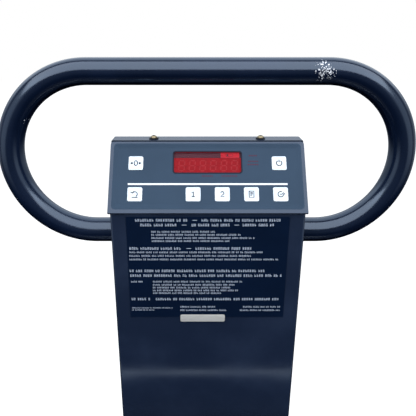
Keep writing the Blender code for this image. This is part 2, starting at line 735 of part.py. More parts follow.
def make_ramps():
    """A ramp's plate, its two edge lips and its knuckles, made once about the hinge's axis."""
    start = KNUCKLE_RADIUS + 3 * RUNNING
    outline = fillet([
        (start, -RAMP_DEPTH / 2, 0),
        (RAMP_LENGTH, -RAMP_DEPTH / 2, RAMP_TIP_CORNER),
        (RAMP_LENGTH, RAMP_DEPTH / 2, RAMP_TIP_CORNER),
        (start, RAMP_DEPTH / 2, 0),
    ])
    sheet = plate("ramp", [outline], RAMP_PLATE, "ramp_paint", (0, 0, -RAMP_PLATE / 2))
    lip_start = 3 * KNUCKLE_RADIUS
    lip_end = RAMP_LENGTH - 2 * RAMP_TIP_CORNER
    clear = RAMP_LIP_GAP + RAMP_PLATE / 2
    lip = [
        Vector((lip_start, 0)),
        Vector((lip_end, 0)),
        Vector((lip_end, (RAMP_LENGTH - lip_end) * -tan(RAMP_SLOPE) / 2 - clear / 2)),
        Vector((lip_start, (RAMP_LENGTH - lip_start) * -tan(RAMP_SLOPE) + clear / 2)),
    ]
    for side in (-1, 1):
        y = side * (RAMP_DEPTH - RAMP_LIP) / 2 + RAMP_LIP / 2
        weld(sheet, plate(f"ramp_lip_{side}", [lip], RAMP_LIP, "ramp_paint", (0, y, 0), UPRIGHT))
    bore = circle(KNUCKLE_BORE, steps=SMALL_STEPS)
    for index in range(1, KNUCKLES, 2):
        middle, length = knuckle_span(index)
        weld(sheet, plate(f"ramp_knuckle_{index}", [ramp_knuckle_outline(), bore], length, "ramp_paint",
                          (0, middle - DECK_Y + length / 2, 0), UPRIGHT))
    mesh = bake(sheet)
    for name, side, turn in (("left", -1, pi), ("right", 1, 0)):
        place = (side * HINGE_X, DECK_Y, HINGE_Z)
        ramp = add_object(f"ramp_{name}", mesh.copy(), "ramp_paint", place, (0, RAMP_SLOPE, turn))
        add_treads(name, ramp)
        add_ramp_pin(name, side)


def add_treads(name, ramp):
    """One grip strip for each share of the ramp's length, parented to the ramp."""
    room = RAMP_LENGTH - 3 * KNUCKLE_RADIUS - TREAD_MARGIN
    pitch = room / TREADS
    for index in range(TREADS):
        middle = 3 * KNUCKLE_RADIUS + (index + 1 / 2) * pitch
        outline = rectangle(TREAD_WIDTH, RAMP_DEPTH - 2 * TREAD_MARGIN, TREAD_MARGIN / 4, (middle, 0))
        plate(f"ramp_{name}_tread_{index + 1}", [outline], TREAD_THICKNESS, "grip_strip",
              (0, 0, RAMP_PLATE / 2 + SEAT), FLAT, ramp)


def add_ramp_pin(name, side):
    """The hinge pin, with a head at each end of the row of knuckles."""
    half = RAMP_DEPTH / 2
    profile = [
        (0, half + PIN_HEAD),
        (PIN_HEAD_RADIUS, half + PIN_HEAD),
        (PIN_HEAD_RADIUS, half + RUNNING),
        (RAMP_PIN_RADIUS, half + RUNNING),
        (RAMP_PIN_RADIUS, -half - RUNNING),
        (PIN_HEAD_RADIUS, -half - RUNNING),
        (PIN_HEAD_RADIUS, -half - PIN_HEAD),
        (0, -half - PIN_HEAD),
    ]
    turned(f"ramp_{name}_pin", profile, "bright_steel", (side * HINGE_X, DECK_Y, HINGE_Z), (pi / 2, 0, 0),
           steps=SMALL_STEPS)


def make_handrail():
    """A U of stainless tube whose ends stand in flanged collars on the platform."""
    foot = DECK_TOP + SEAT + FLANGE_THICKNESS
    inner = RAIL_HALF_SPAN - RAIL_BEND
    level = RAIL_TOP - RAIL_BEND
    bend = arc(RAIL_BEND, 0, pi / 2, BEND_STEPS, (inner, level))
    right = [Vector((RAIL_HALF_SPAN, foot)), *bend]
    left = [Vector((-point.x, point.y)) for point in reversed(right)]
    path = [(point.x, RAIL_Y, point.y) for point in (*right, *left)]
    tube("handrail", path, RAIL_RADIUS, "stainless", sides=12)
    bore = RAIL_RADIUS + SEAT
    collar = bore + COLLAR_WALL
    top = FLANGE_THICKNESS + COLLAR_HEIGHT
    profile = [
        (0, FLANGE_THICKNESS - SEAT),
        (bore, FLANGE_THICKNESS - SEAT),
        (bore, top),
        (collar, top),
        (collar + COLLAR_WALL / 4, FLANGE_THICKNESS),
        (FLANGE_RADIUS, FLANGE_THICKNESS),
        (FLANGE_RADIUS, 0),
        (0, 0),
    ]
    for name, side in (("left", -1), ("right", 1)):
        place = (side * RAIL_HALF_SPAN, RAIL_Y, DECK_TOP + SEAT)
        turned(f"handrail_flange_{name}", profile, "stainless", place)


def mast_outline():
    """The folded channel in plan: a front, two sides and two returns at the back."""
    half = MAST_WIDTH / 2
    back = MAST_REAR_Y - COVER_THICKNESS - SEAT
    inner_half = half - MAST_WALL
    inner_back = back - MAST_WALL
    lap = half - MAST_RETURN
    outer_bend = MAST_CORNER
    inner_bend = MAST_CORNER - MAST_WALL
    return fillet([
        (-lap, back, 0),
        (-half, back, outer_bend),
        (-half, MAST_Y, outer_bend),
        (half, MAST_Y, outer_bend),
        (half, back, outer_bend),
        (lap, back, 0),
        (lap, inner_back, 0),
        (inner_half, inner_back, inner_bend),
        (inner_half, MAST_Y + MAST_WALL, inner_bend),
        (-inner_half, MAST_Y + MAST_WALL, inner_bend),
        (-inner_half, inner_back, inner_bend),
        (-lap, inner_back, 0),
    ])


def make_mast():
    """The mast's folded shell, its rear cover and the welded foot that holds it."""
    top = HEAD_Z - SEAT
    shell = plate("mast_shell", [mast_outline()], top - MAST_Z, "navy_paint", (0, 0, MAST_Z))
    notch_half = SKIRT_HALF + COVER_NOTCH_GAP
    notch_z = SKIRT_BOTTOM - COVER_NOTCH_GAP
    bay_room = rectangle(2 * notch_half, top + OVERRUN - notch_z, 0, (0, (top + OVERRUN + notch_z) / 2))
    cut(shell, plate("bay_room", [bay_room], TRAY_DEPTH + OVERRUN, "navy_paint",
                     (0, MAST_REAR_Y + OVERRUN, 0), UPRIGHT))
    cover_half = MAST_WIDTH / 2 - COVER_MARGIN
    cover_low = MAST_Z + SOCKET_HEIGHT
    cover = [
        Vector((-cover_half, cover_low)),
        Vector((cover_half, cover_low)),
        Vector((cover_half, top)),
        Vector((notch_half, top)),
        Vector((notch_half, notch_z)),
        Vector((-notch_half, notch_z)),
        Vector((-notch_half, top)),
        Vector((-cover_half, top)),
    ]
    plate("mast_rear_cover", [cover], COVER_THICKNESS, "navy_paint", (0, MAST_REAR_Y, 0), UPRIGHT)
    make_mast_foot()


def make_mast_foot():
    """A floor plate with a socket round the mast's foot and a gusset at each side."""
    width = MAST_WIDTH + 2 * FOOT_PLATE_MARGIN
    front = MAST_Y - FOOT_PLATE_FRONT
    rear = MAST_REAR_Y + FOOT_PLATE_REAR
    floor = rectangle(width, rear - front, FRAME_CORNER, (0, (front + rear) / 2))
    foot = plate("mast_foot", [floor], FOOT_PLATE, "navy_paint", (0, 0, FOOT_PLATE_Z))
    gap = 2 * SEAT
    middle = (MAST_Y + MAST_REAR_Y) / 2
    inside = rectangle(MAST_WIDTH + gap, MAST_DEPTH + gap, MAST_CORNER, (0, middle))
    outside = rectangle(MAST_WIDTH + gap + 2 * SOCKET_WALL, MAST_DEPTH + gap + 2 * SOCKET_WALL,
                        MAST_CORNER + SOCKET_WALL, (0, middle))
    socket_z = FOOT_PLATE_Z + FOOT_PLATE - WELD
    weld(foot, plate("foot_socket", [outside, inside], SOCKET_HEIGHT, "navy_paint", (0, 0, socket_z)))
    root = (MAST_WIDTH + gap) / 2 + SOCKET_WALL - WELD
    reach = width / 2 - FRAME_CORNER / 2
    for side in (-1, 1):
        gusset = [
            Vector((side * root, socket_z)),
            Vector((side * reach, socket_z)),
            Vector((side * reach, socket_z + GUSSET_THICKNESS)),
            Vector((side * root, socket_z + SOCKET_HEIGHT - GUSSET_THICKNESS)),
        ]
        weld(foot, plate(f"foot_gusset_{side}", [gusset], GUSSET_THICKNESS, "navy_paint",
                         (0, middle + GUSSET_THICKNESS / 2, 0), UPRIGHT))
    return foot


def make_wheels():
    """Two transport wheels behind the mast, on one fixed axle, just clear of the floor."""
    half = WHEEL_WIDTH / 2
    rim = WHEEL_RADIUS - TYRE_DEPTH
    reach = WHEEL_X + half + RUNNING
    axle_profile = [
        (0, reach + AXLE_HEAD),
        (AXLE_HEAD_RADIUS, reach + AXLE_HEAD),
        (AXLE_HEAD_RADIUS, reach),
        (AXLE_RADIUS, reach),
        (AXLE_RADIUS, -reach),
        (AXLE_HEAD_RADIUS, -reach),
        (AXLE_HEAD_RADIUS, -reach - AXLE_HEAD),
        (0, -reach - AXLE_HEAD),
    ]
    turned("wheel_axle", axle_profile, "bright_steel", (0, AXLE_Y, AXLE_Z), (0, pi / 2, 0))
    bore = AXLE_RADIUS + RUNNING
    web = HUB_WEB / 2
    hub_profile = [
        (bore, half),
        (HUB_BOSS_RADIUS, half),
        (HUB_BOSS_RADIUS, web),
        (rim - HUB_RIM, web),
        (rim - HUB_RIM, half - HUB_RIM),
        (rim, half - HUB_RIM),
        (rim, HUB_RIM - half),
        (rim - HUB_RIM, HUB_RIM - half),
        (rim - HUB_RIM, -web),
        (HUB_BOSS_RADIUS, -web),
        (HUB_BOSS_RADIUS, -half),
        (bore, -half),
    ]
    seat = rim + SEAT
    flat = half - TYRE_SHOULDER
    shoulder = WHEEL_RADIUS - TYRE_SHOULDER
    crown = arc(TYRE_SHOULDER, pi / 2, 0, FILLET_STEPS, (shoulder, flat))
    upper = [(point.x, point.y) for point in crown]
    lower = [(radius, -height) for radius, height in reversed(upper)]
    tyre_profile = [(seat, half), *upper, *lower, (seat, -half)]
    for name, side in (("left", -1), ("right", 1)):
        place = (side * WHEEL_X, AXLE_Y, AXLE_Z)
        turned(f"wheel_{name}_hub", hub_profile, "grey_moulding", place, (0, pi / 2, 0), FINE_STEPS,
               ring=True)
        turned(f"wheel_{name}_tyre", tyre_profile, "tyre_rubber", place, (0, pi / 2, 0), FINE_STEPS,
               ring=True)


def make_housing():
    """The head's folded wedge: hollow, open below, with a face opening and a battery bay behind."""
    top = HEAD_Z + LIP_RISE + FACE_LENGTH * sin(FACE_SLOPE)
    floor_along = (-LIP_RISE - HOUSING_FACE * cos(FACE_SLOPE)) / sin(FACE_SLOPE)
    lowest = -LIP_RISE / sin(FACE_SLOPE)
    outline = [
        face_point(lowest, 0),
        face_point(FACE_LENGTH, 0),
        (HOUSING_REAR_Y, top),
        (HOUSING_REAR_Y, HEAD_Z),
    ]
    housing = plate("console_housing", [outline], 2 * HOUSING_HALF, "navy_paint",
                    (-HOUSING_HALF, 0, 0), SIDEWAYS)
    round_edges(housing.data, HOUSING_REAR_Y, top)
    seat_bottom = lowest - OVERRUN
    seat_top = FACE_LENGTH - SEAT
    seat = rectangle(2 * (HOUSING_HALF + OVERRUN), seat_top - seat_bottom, 0,
                     (0, (seat_top + seat_bottom) / 2))
    cut(housing, plate("bezel_seat", [seat], OVERRUN - HOUSING_FACE, "navy_paint",
                       (0, 0, HOUSING_FACE), FLAT, FACE_FRAME))
    inner_floor = floor_along - OVERRUN / sin(FACE_SLOPE)
    inner_top = top - HOUSING_WALL
    inner_along = (inner_top - face_point(0, HOUSING_FACE_BACK)[1]) / sin(FACE_SLOPE)
    hollow = [
        face_point(inner_floor - HOUSING_WALL, HOUSING_FACE_BACK),
        face_point(inner_along, HOUSING_FACE_BACK),
        (HOUSING_REAR_Y - HOUSING_WALL, inner_top),
        (HOUSING_REAR_Y - HOUSING_WALL, face_point(inner_floor - HOUSING_WALL, HOUSING_FACE_BACK)[1]),
    ]
    inner_half = HOUSING_HALF - HOUSING_WALL
    cut(housing, plate("housing_hollow", [hollow], 2 * inner_half, "navy_paint",
                       (-inner_half, 0, 0), SIDEWAYS))
    skirt = rectangle(2 * SKIRT_HALF, HEAD_Z + BAY_RIM - SKIRT_BOTTOM, 0,
                      (0, (HEAD_Z + BAY_RIM + SKIRT_BOTTOM) / 2))
    weld(housing, plate("housing_skirt", [skirt], HOUSING_WALL, "navy_paint",
                        (0, HOUSING_REAR_Y, 0), UPRIGHT))
    bay = rectangle(BAY_WIDTH, BAY_HEIGHT, 0, (0, BAY_Z))
    cut(housing, plate("bay_mouth", [bay], HOUSING_WALL + 2 * OVERRUN, "navy_paint",
                       (0, HOUSING_REAR_Y + OVERRUN, 0), UPRIGHT))
    mouth = plate("face_mouth", [rectangle(OPENING_WIDTH, OPENING_HEIGHT, BEZEL_CORNER, (0, RECESS_CENTRE))],
                  HOUSING_WALL + 2 * OVERRUN, "navy_paint", (0, 0, HOUSING_FACE_BACK - OVERRUN), FLAT,
                  FACE_FRAME)
    cut(housing, mouth)
    weld_door_knuckles(housing)
    return housing


def round_edges(mesh, rear, top):
    """Rounds the housing's upper side edges and its rear corners, in the mesh's own Y and Z outline."""
    shape = bmesh.new()
    shape.from_mesh(mesh)
    chosen = []
    for edge in shape.edges:
        low, high = (vertex.co for vertex in edge.verts)
        along_top = abs(low.y - top) < SEAT and abs(high.y - top) < SEAT
        along_rear = abs(low.x - rear) < SEAT and abs(high.x - rear) < SEAT
        same_side = abs(low.z - high.z) < SEAT
        if same_side and (along_top or along_rear) and len(edge.link_faces) == 2:
            if edge.calc_face_angle() > SMOOTH_ANGLE:
                chosen.append(edge)
    rounded = bmesh.ops.bevel(shape, geom=chosen, offset=HOUSING_CORNER, segments=FILLET_STEPS,
                              affect="EDGES", profile=0.5)
    bmesh.ops.triangulate(shape, faces=[face for face in rounded["faces"] if face.is_valid])
    shape.to_mesh(mesh)
    shape.free()


def door_knuckle(index):
    """Gives the rear end and the length of one door knuckle along X."""
    pitch = DOOR_WIDTH / DOOR_KNUCKLES
    return -DOOR_WIDTH / 2 + index * pitch + RUNNING / 2, pitch - RUNNING


def weld_door_knuckles(housing):
    """The housing's knuckles: round barrels with a web to the rear wall."""
    edge = HOUSING_REAR_Y - WELD
    barrel = arc(DOOR_KNUCKLE_RADIUS, -pi / 2, pi / 2, SMALL_STEPS, (DOOR_AXIS_Y, DOOR_AXIS_Z))
    outline = [*barrel, Vector((edge, DOOR_AXIS_Z + DOOR_KNUCKLE_RADIUS)),
               Vector((edge, DOOR_AXIS_Z - DOOR_KNUCKLE_RADIUS))]
    bore = circle(DOOR_PIN_RADIUS + RUNNING, (DOOR_AXIS_Y, DOOR_AXIS_Z), SMALL_STEPS)
    for index in range(0, DOOR_KNUCKLES, 2):
        start, length = door_knuckle(index)
        weld(housing, plate(f"housing_knuckle_{index}", [outline, bore], length, "navy_paint",
                            (start, 0, 0), SIDEWAYS))


def make_battery_door():
    """The flap over the battery bay, hinged along its top edge, with a pull at the bottom."""
    door = plate("battery_door", [door_outline()], DOOR_THICKNESS, "navy_paint",
                 (0, HOUSING_REAR_Y + SEAT + DOOR_THICKNESS - DOOR_AXIS_Y, -DOOR_AXIS_Z), UPRIGHT)
    inner = HOUSING_REAR_Y + SEAT - DOOR_AXIS_Y
    leaf = -DOOR_KNUCKLE_RADIUS - DOOR_OVERLAP / 2
    outline = [
        *arc(DOOR_KNUCKLE_RADIUS, -pi / 4, pi, SMALL_STEPS),
        Vector((inner, leaf)),
        Vector((inner + DOOR_THICKNESS, leaf)),
    ]
    bore = circle(DOOR_PIN_RADIUS + RUNNING, steps=SMALL_STEPS)
    for index in range(1, DOOR_KNUCKLES, 2):
        start, length = door_knuckle(index)
        weld(door, plate(f"door_knuckle_{index}", [outline, bore], length, "navy_paint",
                         (start, 0, 0), SIDEWAYS))
    pull_z = DOOR_BOTTOM - DOOR_AXIS_Z + DOOR_PULL_THICKNESS / 2
    pull_y = inner + DOOR_THICKNESS - WELD + (DOOR_PULL_DEPTH + WELD) / 2
    weld(door, box("door_pull", (DOOR_PULL_WIDTH, DOOR_PULL_DEPTH + WELD, DOOR_PULL_THICKNESS),
                   (0, pull_y, pull_z), "navy_paint"))
    mesh = bake(door)
    add_object("battery_door", mesh, "navy_paint", (0, DOOR_AXIS_Y, DOOR_AXIS_Z))
    half = DOOR_WIDTH / 2
    profile = [(0, half), (DOOR_PIN_RADIUS, half), (DOOR_PIN_RADIUS, -half), (0, -half)]
    turned("battery_door_pin", profile, "bright_steel", (0, DOOR_AXIS_Y, DOOR_AXIS_Z), (0, pi / 2, 0),
           SMALL_STEPS)


def door_outline():
    top = DOOR_AXIS_Z - DOOR_KNUCKLE_RADIUS - RUNNING
    return fillet([
        (-DOOR_WIDTH / 2, DOOR_BOTTOM, DOOR_CORNER),
        (DOOR_WIDTH / 2, DOOR_BOTTOM, DOOR_CORNER),
        (DOOR_WIDTH / 2, top, 0),
        (-DOOR_WIDTH / 2, top, 0),
    ])


def make_batteries():
    """An open-backed tray with the cells lying in it, row on row."""
    outer = rectangle(BAY_WIDTH + 2 * TRAY_WALL, BAY_HEIGHT + 2 * TRAY_WALL, 0, (0, BAY_Z))
    tray = plate("battery_tray", [outer], TRAY_DEPTH, "black_moulding", (0, TRAY_REAR_Y, 0), UPRIGHT)
    inner = rectangle(BAY_WIDTH, BAY_HEIGHT, 0, (0, BAY_Z))
    cut(tray, plate("tray_hollow", [inner], BAY_DEPTH + OVERRUN, "black_moulding",
                    (0, TRAY_REAR_Y + OVERRUN, 0), UPRIGHT))
    case = BATTERY_LENGTH - BATTERY_TIP
    profile = [
        (0, BATTERY_LENGTH / 2),
        (BATTERY_TIP_RADIUS, BATTERY_LENGTH / 2),
        (BATTERY_TIP_RADIUS, BATTERY_LENGTH / 2 - BATTERY_TIP),
        (BATTERY_RADIUS - BATTERY_EDGE, BATTERY_LENGTH / 2 - BATTERY_TIP),
        (BATTERY_RADIUS, BATTERY_LENGTH / 2 - BATTERY_TIP - BATTERY_EDGE),
        (BATTERY_RADIUS, BATTERY_LENGTH / 2 - case - BATTERY_TIP + BATTERY_EDGE),
        (BATTERY_RADIUS - BATTERY_EDGE, -BATTERY_LENGTH / 2),
        (0, -BATTERY_LENGTH / 2),
    ]
    number = 0
    for row in range(BATTERY_ROWS):
        z = BAY_Z + (row - (BATTERY_ROWS - 1) / 2) * (2 * BATTERY_RADIUS + BATTERY_GAP)
        for column in range(BATTERY_COLUMNS):
            number += 1
            x = (column - (BATTERY_COLUMNS - 1) / 2) * (BATTERY_LENGTH + BATTERY_GAP)
            y = TRAY_REAR_Y - BAY_DEPTH + BATTERY_GAP + BATTERY_RADIUS
            tilt = pi / 2 if row % 2 == 0 else -pi / 2
            turned(f"battery_{number}", profile, "cell_jacket", (x, y, z), (0, tilt, 0))


def make_face():
    """The bezel, the keypad panel, the display and the board behind them, on the sloped face."""
    bezel_outline = fillet([
        (-HOUSING_HALF, 0, BEZEL_EDGE),
        (HOUSING_HALF, 0, BEZEL_EDGE),
        (HOUSING_HALF, BEZEL_LENGTH, BEZEL_EDGE),
        (-HOUSING_HALF, BEZEL_LENGTH, BEZEL_EDGE),
    ])
    recess = rectangle(RECESS_WIDTH, RECESS_HEIGHT, BEZEL_CORNER, (0, RECESS_CENTRE))
    bezel = plate("console_bezel", [bezel_outline, recess], BEZEL_THICKNESS, "navy_paint",
                  (0, 0, PANEL_BACK), FLAT, FACE_FRAME)
    edge = bezel.modifiers.new("edge", "BEVEL")
    edge.width = BEZEL_EDGE / 2
    edge.segments = 2
    edge.limit_method = "ANGLE"
    edge.angle_limit = SMOOTH_ANGLE
    hole = KEY_SIZE + 2 * KEY_FIT
    panel_outline = rectangle(RECESS_WIDTH - 2 * PANEL_FIT, RECESS_HEIGHT - 2 * PANEL_FIT,
                              BEZEL_CORNER - PANEL_FIT, (0, RECESS_CENTRE))
    key_holes = [rectangle(hole, hole, KEY_CORNER + KEY_FIT, place) for place in KEYS.values()]
    window = rectangle(WINDOW_WIDTH, WINDOW_HEIGHT, WINDOW_CORNER, (0, WINDOW_CENTRE))
    plate("keypad_panel", [panel_outline, *key_holes, window], PANEL_FRONT - PANEL_BACK, "panel_film",
          (0, 0, PANEL_BACK), FLAT, FACE_FRAME)
    lens = rectangle(WINDOW_WIDTH - 2 * LENS_FIT, WINDOW_HEIGHT - 2 * LENS_FIT, WINDOW_CORNER - LENS_FIT,
                     (0, WINDOW_CENTRE))
    plate("display_lens", [lens], LENS_THICKNESS, "red_filter", (0, 0, LENS_BACK), FLAT, FACE_FRAME)
    module = rectangle(WINDOW_WIDTH + 2 * MODULE_MARGIN, WINDOW_HEIGHT + 2 * MODULE_MARGIN, 0,
                       (0, WINDOW_CENTRE))
    plate("display_module", [module], LENS_BACK - BOARD_FRONT - 2 * SEAT, "black_moulding",
          (0, 0, BOARD_FRONT + SEAT), FLAT, FACE_FRAME)
    make_board()
    make_keys()


def make_board():
    """The circuit board with a switch behind each key and posts up to the housing's face."""
    outline = rectangle(BOARD_WIDTH, BOARD_HEIGHT, 0, (0, RECESS_CENTRE))
    board = plate("circuit_board", [outline], BOARD_THICKNESS, "board_laminate",
                  (0, 0, BOARD_BACK), FLAT, FACE_FRAME)
    switch = rectangle(SWITCH_SIZE, SWITCH_SIZE)
    for name, (x, along) in KEYS.items():
        weld(board, plate(f"switch_{name}", [switch], SWITCH_HEIGHT + WELD, "board_laminate",
                          (x, along, BOARD_FRONT - WELD), FLAT, FACE_FRAME))
    post = circle(POST_RADIUS, steps=SMALL_STEPS)
    height = HOUSING_FACE_BACK - SEAT - BOARD_FRONT + WELD
    half_width = BOARD_WIDTH / 2 - POST_INSET
    half_height = BOARD_HEIGHT / 2 - POST_INSET
    for number, (side, end) in enumerate(((-1, -1), (1, -1), (1, 1), (-1, 1))):
        place = (side * half_width, RECESS_CENTRE + end * half_height, BOARD_FRONT - WELD)
        weld(board, plate(f"post_{number}", [post], height, "board_laminate", place, FLAT, FACE_FRAME))
    return board


def make_keys():
    """Square keycaps with a flange behind the panel and a stem over the switch."""
    cap = plate("key", [rectangle(KEY_SIZE, KEY_SIZE, KEY_CORNER)], KEY_TOP - KEY_FLANGE_FRONT + WELD / 2,
                "key_white", (0, 0, KEY_FLANGE_FRONT - WELD / 2))
    wide = KEY_SIZE + 2 * KEY_FLANGE
    weld(cap, plate("key_flange", [rectangle(wide, wide)], KEY_FLANGE_THICKNESS, "key_white",
                    (0, 0, KEY_FLANGE_BACK)))
    weld(cap, plate("key_stem", [rectangle(KEY_STEM, KEY_STEM)], KEY_STEM_LENGTH + WELD / 2, "key_white",
                    (0, 0, KEY_BOTTOM)))
    mesh = bake(cap)
    for name, (x, along) in KEYS.items():
        add_object(name, mesh.copy(), "key_white", (x, along, 0), FLAT, FACE_FRAME)


def make_handle():
    """A racetrack loop of tube, closed on itself, held to the mast by two saddles."""
    half = HANDLE_STRAIGHT / 2
    right = arc(HANDLE_BEND, -pi / 2, pi / 2, HANDLE_BEND_STEPS, (half, HANDLE_Z))
    left = arc(HANDLE_BEND, pi / 2, 3 * pi / 2, HANDLE_BEND_STEPS, (-half, HANDLE_Z))
    path = [(point.x, HANDLE_Y, point.y) for point in (*right, *left)]
    tube("handle_loop", path, HANDLE_RADIUS, "navy_paint", sides=16, cyclic=True)
    inner = HANDLE_RADIUS + SEAT
    outer = inner + SADDLE_WALL
    face = MAST_REAR_Y + SEAT
    tip = HANDLE_LOW_Z + outer + SADDLE_FLANGE
    low_tip = HANDLE_LOW_Z - outer - SADDLE_FLANGE
    outline = [
        Vector((face, tip)),
        Vector((face, HANDLE_LOW_Z + inner)),
        *arc(inner, pi / 2, -pi / 2, SMALL_STEPS, (HANDLE_Y, HANDLE_LOW_Z)),
        Vector((face, HANDLE_LOW_Z - inner)),
        Vector((face, low_tip)),
        Vector((face + SADDLE_WALL, low_tip)),
        Vector((face + SADDLE_WALL, HANDLE_LOW_Z - outer)),
        *arc(outer, -pi / 2, pi / 2, SMALL_STEPS, (HANDLE_Y, HANDLE_LOW_Z)),
        Vector((face + SADDLE_WALL, HANDLE_LOW_Z + outer)),
        Vector((face + SADDLE_WALL, tip)),
    ]
    for name, side in (("left", -1), ("right", 1)):
        plate(f"handle_saddle_{name}", [outline], SADDLE_WIDTH, "navy_paint",
              (side * SADDLE_X - SADDLE_WIDTH / 2, 0, 0), SIDEWAYS)


def make_signs():
    """The instruction panel on the mast's front and the small plate that laps over its lower edge."""
    top = HEAD_Z - SIGN_DROP
    sign = rectangle(SIGN_WIDTH, SIGN_HEIGHT, SIGN_CORNER, (0, top - SIGN_HEIGHT / 2))
    sign_back = MAST_Y - SEAT
    plate("instruction_panel", [sign], SIGN_THICKNESS, "sign_film", (0, sign_back, 0), UPRIGHT)
    plate_z = top - SIGN_HEIGHT + PLATE_LAP - PLATE_HEIGHT / 2
    outline = rectangle(PLATE_WIDTH, PLATE_HEIGHT, PLATE_CORNER, (-PLATE_SHIFT, plate_z))
    plate("serial_plate", [outline], PLATE_THICKNESS, "plate_alloy",
          (0, sign_back - SIGN_THICKNESS - SEAT, 0), UPRIGHT)


FINISHES = {
    "navy_paint": ((0.010, 0.018, 0.045), 0.30, 0.0),
    "frame_paint": ((0.012, 0.020, 0.045), 0.45, 0.0),
    "deck_paint": ((0.012, 0.022, 0.050), 0.40, 0.0),
    "ramp_paint": ((0.012, 0.022, 0.050), 0.40, 0.0),
    "rubber": ((0.012, 0.012, 0.013), 0.75, 0.0),
    "tyre_rubber": ((0.025, 0.025, 0.026), 0.70, 0.0),
    "rubber_mat": ((0.020, 0.020, 0.022), 0.80, 0.0),
    "grip_strip": ((0.030, 0.030, 0.032), 0.95, 0.0),
    "bare_alloy": ((0.62, 0.63, 0.65), 0.35, 1.0),
    "bright_steel": ((0.60, 0.60, 0.61), 0.25, 1.0),
    "stainless": ((0.64, 0.64, 0.63), 0.22, 1.0),
    "plate_alloy": ((0.55, 0.55, 0.50), 0.40, 1.0),
    "grey_moulding": ((0.16, 0.17, 0.18), 0.50, 0.0),
    "black_moulding": ((0.015, 0.015, 0.016), 0.45, 0.0),
    "cell_jacket": ((0.40, 0.40, 0.42), 0.35, 0.6),
    "panel_film": ((0.045, 0.080, 0.140), 0.45, 0.0),
    "sign_film": ((0.006, 0.011, 0.028), 0.35, 0.0),
    "key_white": ((0.87, 0.93, 0.96), 0.35, 0.0),
    "red_filter": ((0.33, 0.03, 0.04), 0.15, 0.0, 0.6),
    "board_laminate": ((0.02, 0.12, 0.05), 0.50, 0.0),
}

clear_scene()
PARTS = make_collection("wheelchair_scale")
TOOLS = make_collection("cutters")
FACE_FRAME = add_empty("face_frame", (0, *face_point(0, 0)), (FACE_SLOPE, 0, 0))
make_base_frame()
make_tongue()
make_feet()
make_load_cells()
make_deck()
make_mat()
make_ramps()
make_handrail()
make_mast()
make_wheels()
make_housing()
make_face()
make_batteries()
make_battery_door()
make_handle()
make_signs()
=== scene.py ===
"""Looks of a wheelchair scale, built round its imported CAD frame.

Metres, +Z up, with the display facing -Y. Every shape is a surface of two parameters worked out with
numpy, or a softened copy of a CAD node, and every finish is a procedural material.
"""

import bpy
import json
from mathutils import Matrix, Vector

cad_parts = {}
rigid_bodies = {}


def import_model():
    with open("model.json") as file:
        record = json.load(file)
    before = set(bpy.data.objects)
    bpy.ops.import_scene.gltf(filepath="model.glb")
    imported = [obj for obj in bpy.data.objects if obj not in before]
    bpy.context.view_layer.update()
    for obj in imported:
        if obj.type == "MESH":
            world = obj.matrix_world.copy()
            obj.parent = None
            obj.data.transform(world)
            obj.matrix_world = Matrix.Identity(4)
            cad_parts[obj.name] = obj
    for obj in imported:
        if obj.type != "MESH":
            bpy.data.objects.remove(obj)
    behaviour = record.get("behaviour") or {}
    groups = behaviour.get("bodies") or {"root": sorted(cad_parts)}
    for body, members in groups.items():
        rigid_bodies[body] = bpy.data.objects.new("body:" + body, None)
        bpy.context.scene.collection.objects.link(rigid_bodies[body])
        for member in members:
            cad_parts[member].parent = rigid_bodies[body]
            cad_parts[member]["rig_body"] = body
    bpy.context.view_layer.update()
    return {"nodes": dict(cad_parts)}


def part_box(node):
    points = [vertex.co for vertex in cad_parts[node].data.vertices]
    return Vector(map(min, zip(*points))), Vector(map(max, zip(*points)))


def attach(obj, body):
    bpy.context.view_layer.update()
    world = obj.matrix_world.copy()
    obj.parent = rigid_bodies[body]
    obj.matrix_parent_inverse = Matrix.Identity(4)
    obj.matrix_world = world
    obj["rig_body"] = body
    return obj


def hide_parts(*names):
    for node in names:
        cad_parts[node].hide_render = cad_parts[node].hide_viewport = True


bl_info = {
    "name": "Wheelchair scale looks",
    "version": (1, 0, 0),
    "blender": (4, 5, 0),
    "location": "View3D > Sidebar > Scale",
    "description": "Builds the visible surfaces and finishes of a wheelchair scale",
    "category": "Object",
}

import json
from collections import namedtuple
from math import cos, pi, radians, sin, tan

import bmesh
import bpy
import numpy as np
from bpy.props import FloatProperty, FloatVectorProperty, IntProperty, PointerProperty

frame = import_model()

MILLIMETRE = 0.001
MERGE = 2e-6                 # points nearer than this are one point
SEAT = 0.0003                # how far a piece stands off what carries it
FACE_SLOPE = radians(54.0)   # slope of the display's face
BEZEL_THICKNESS = 0.003
KEYS = ("key_power", "key_zero", "key_recall", "key_pounds", "key_kilograms", "key_print", "key_reweigh")
SIDES = ("left", "right")

# Ways that a seat can face: its directions across and up
UPWARD = ((1, 0, 0), (0, 1, 0))
FORWARD = ((1, 0, 0), (0, 0, 1))
REARWARD = ((-1, 0, 0), (0, 0, 1))
RIGHTWARD = ((0, 1, 0), (0, 0, 1))

Seat = namedtuple("Seat", "origin across up out")


# Places that come from the frame

def vertices(node):
    mesh = frame["nodes"][node].data
    points = np.empty(len(mesh.vertices) * 3, np.float32)
    mesh.vertices.foreach_get("co", points)
    return points.reshape(-1, 3).astype(float)


def low(node):
    return np.array(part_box(node)[0])


def high(node):
    return np.array(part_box(node)[1])


def middle(node):
    return (low(node) + high(node)) / 2


def extent(node):
    return high(node) - low(node)


def seat(origin, across, up):
    """A place to build on: a point and three directions at right angles."""
    return Seat(np.array(origin, float), np.array(across, float), np.array(up, float), np.cross(across, up))


def on_seat(base, x, y, lift=0.0):
    """The same seat, moved across its face."""
    return base._replace(origin=placed((x, y, lift), base))


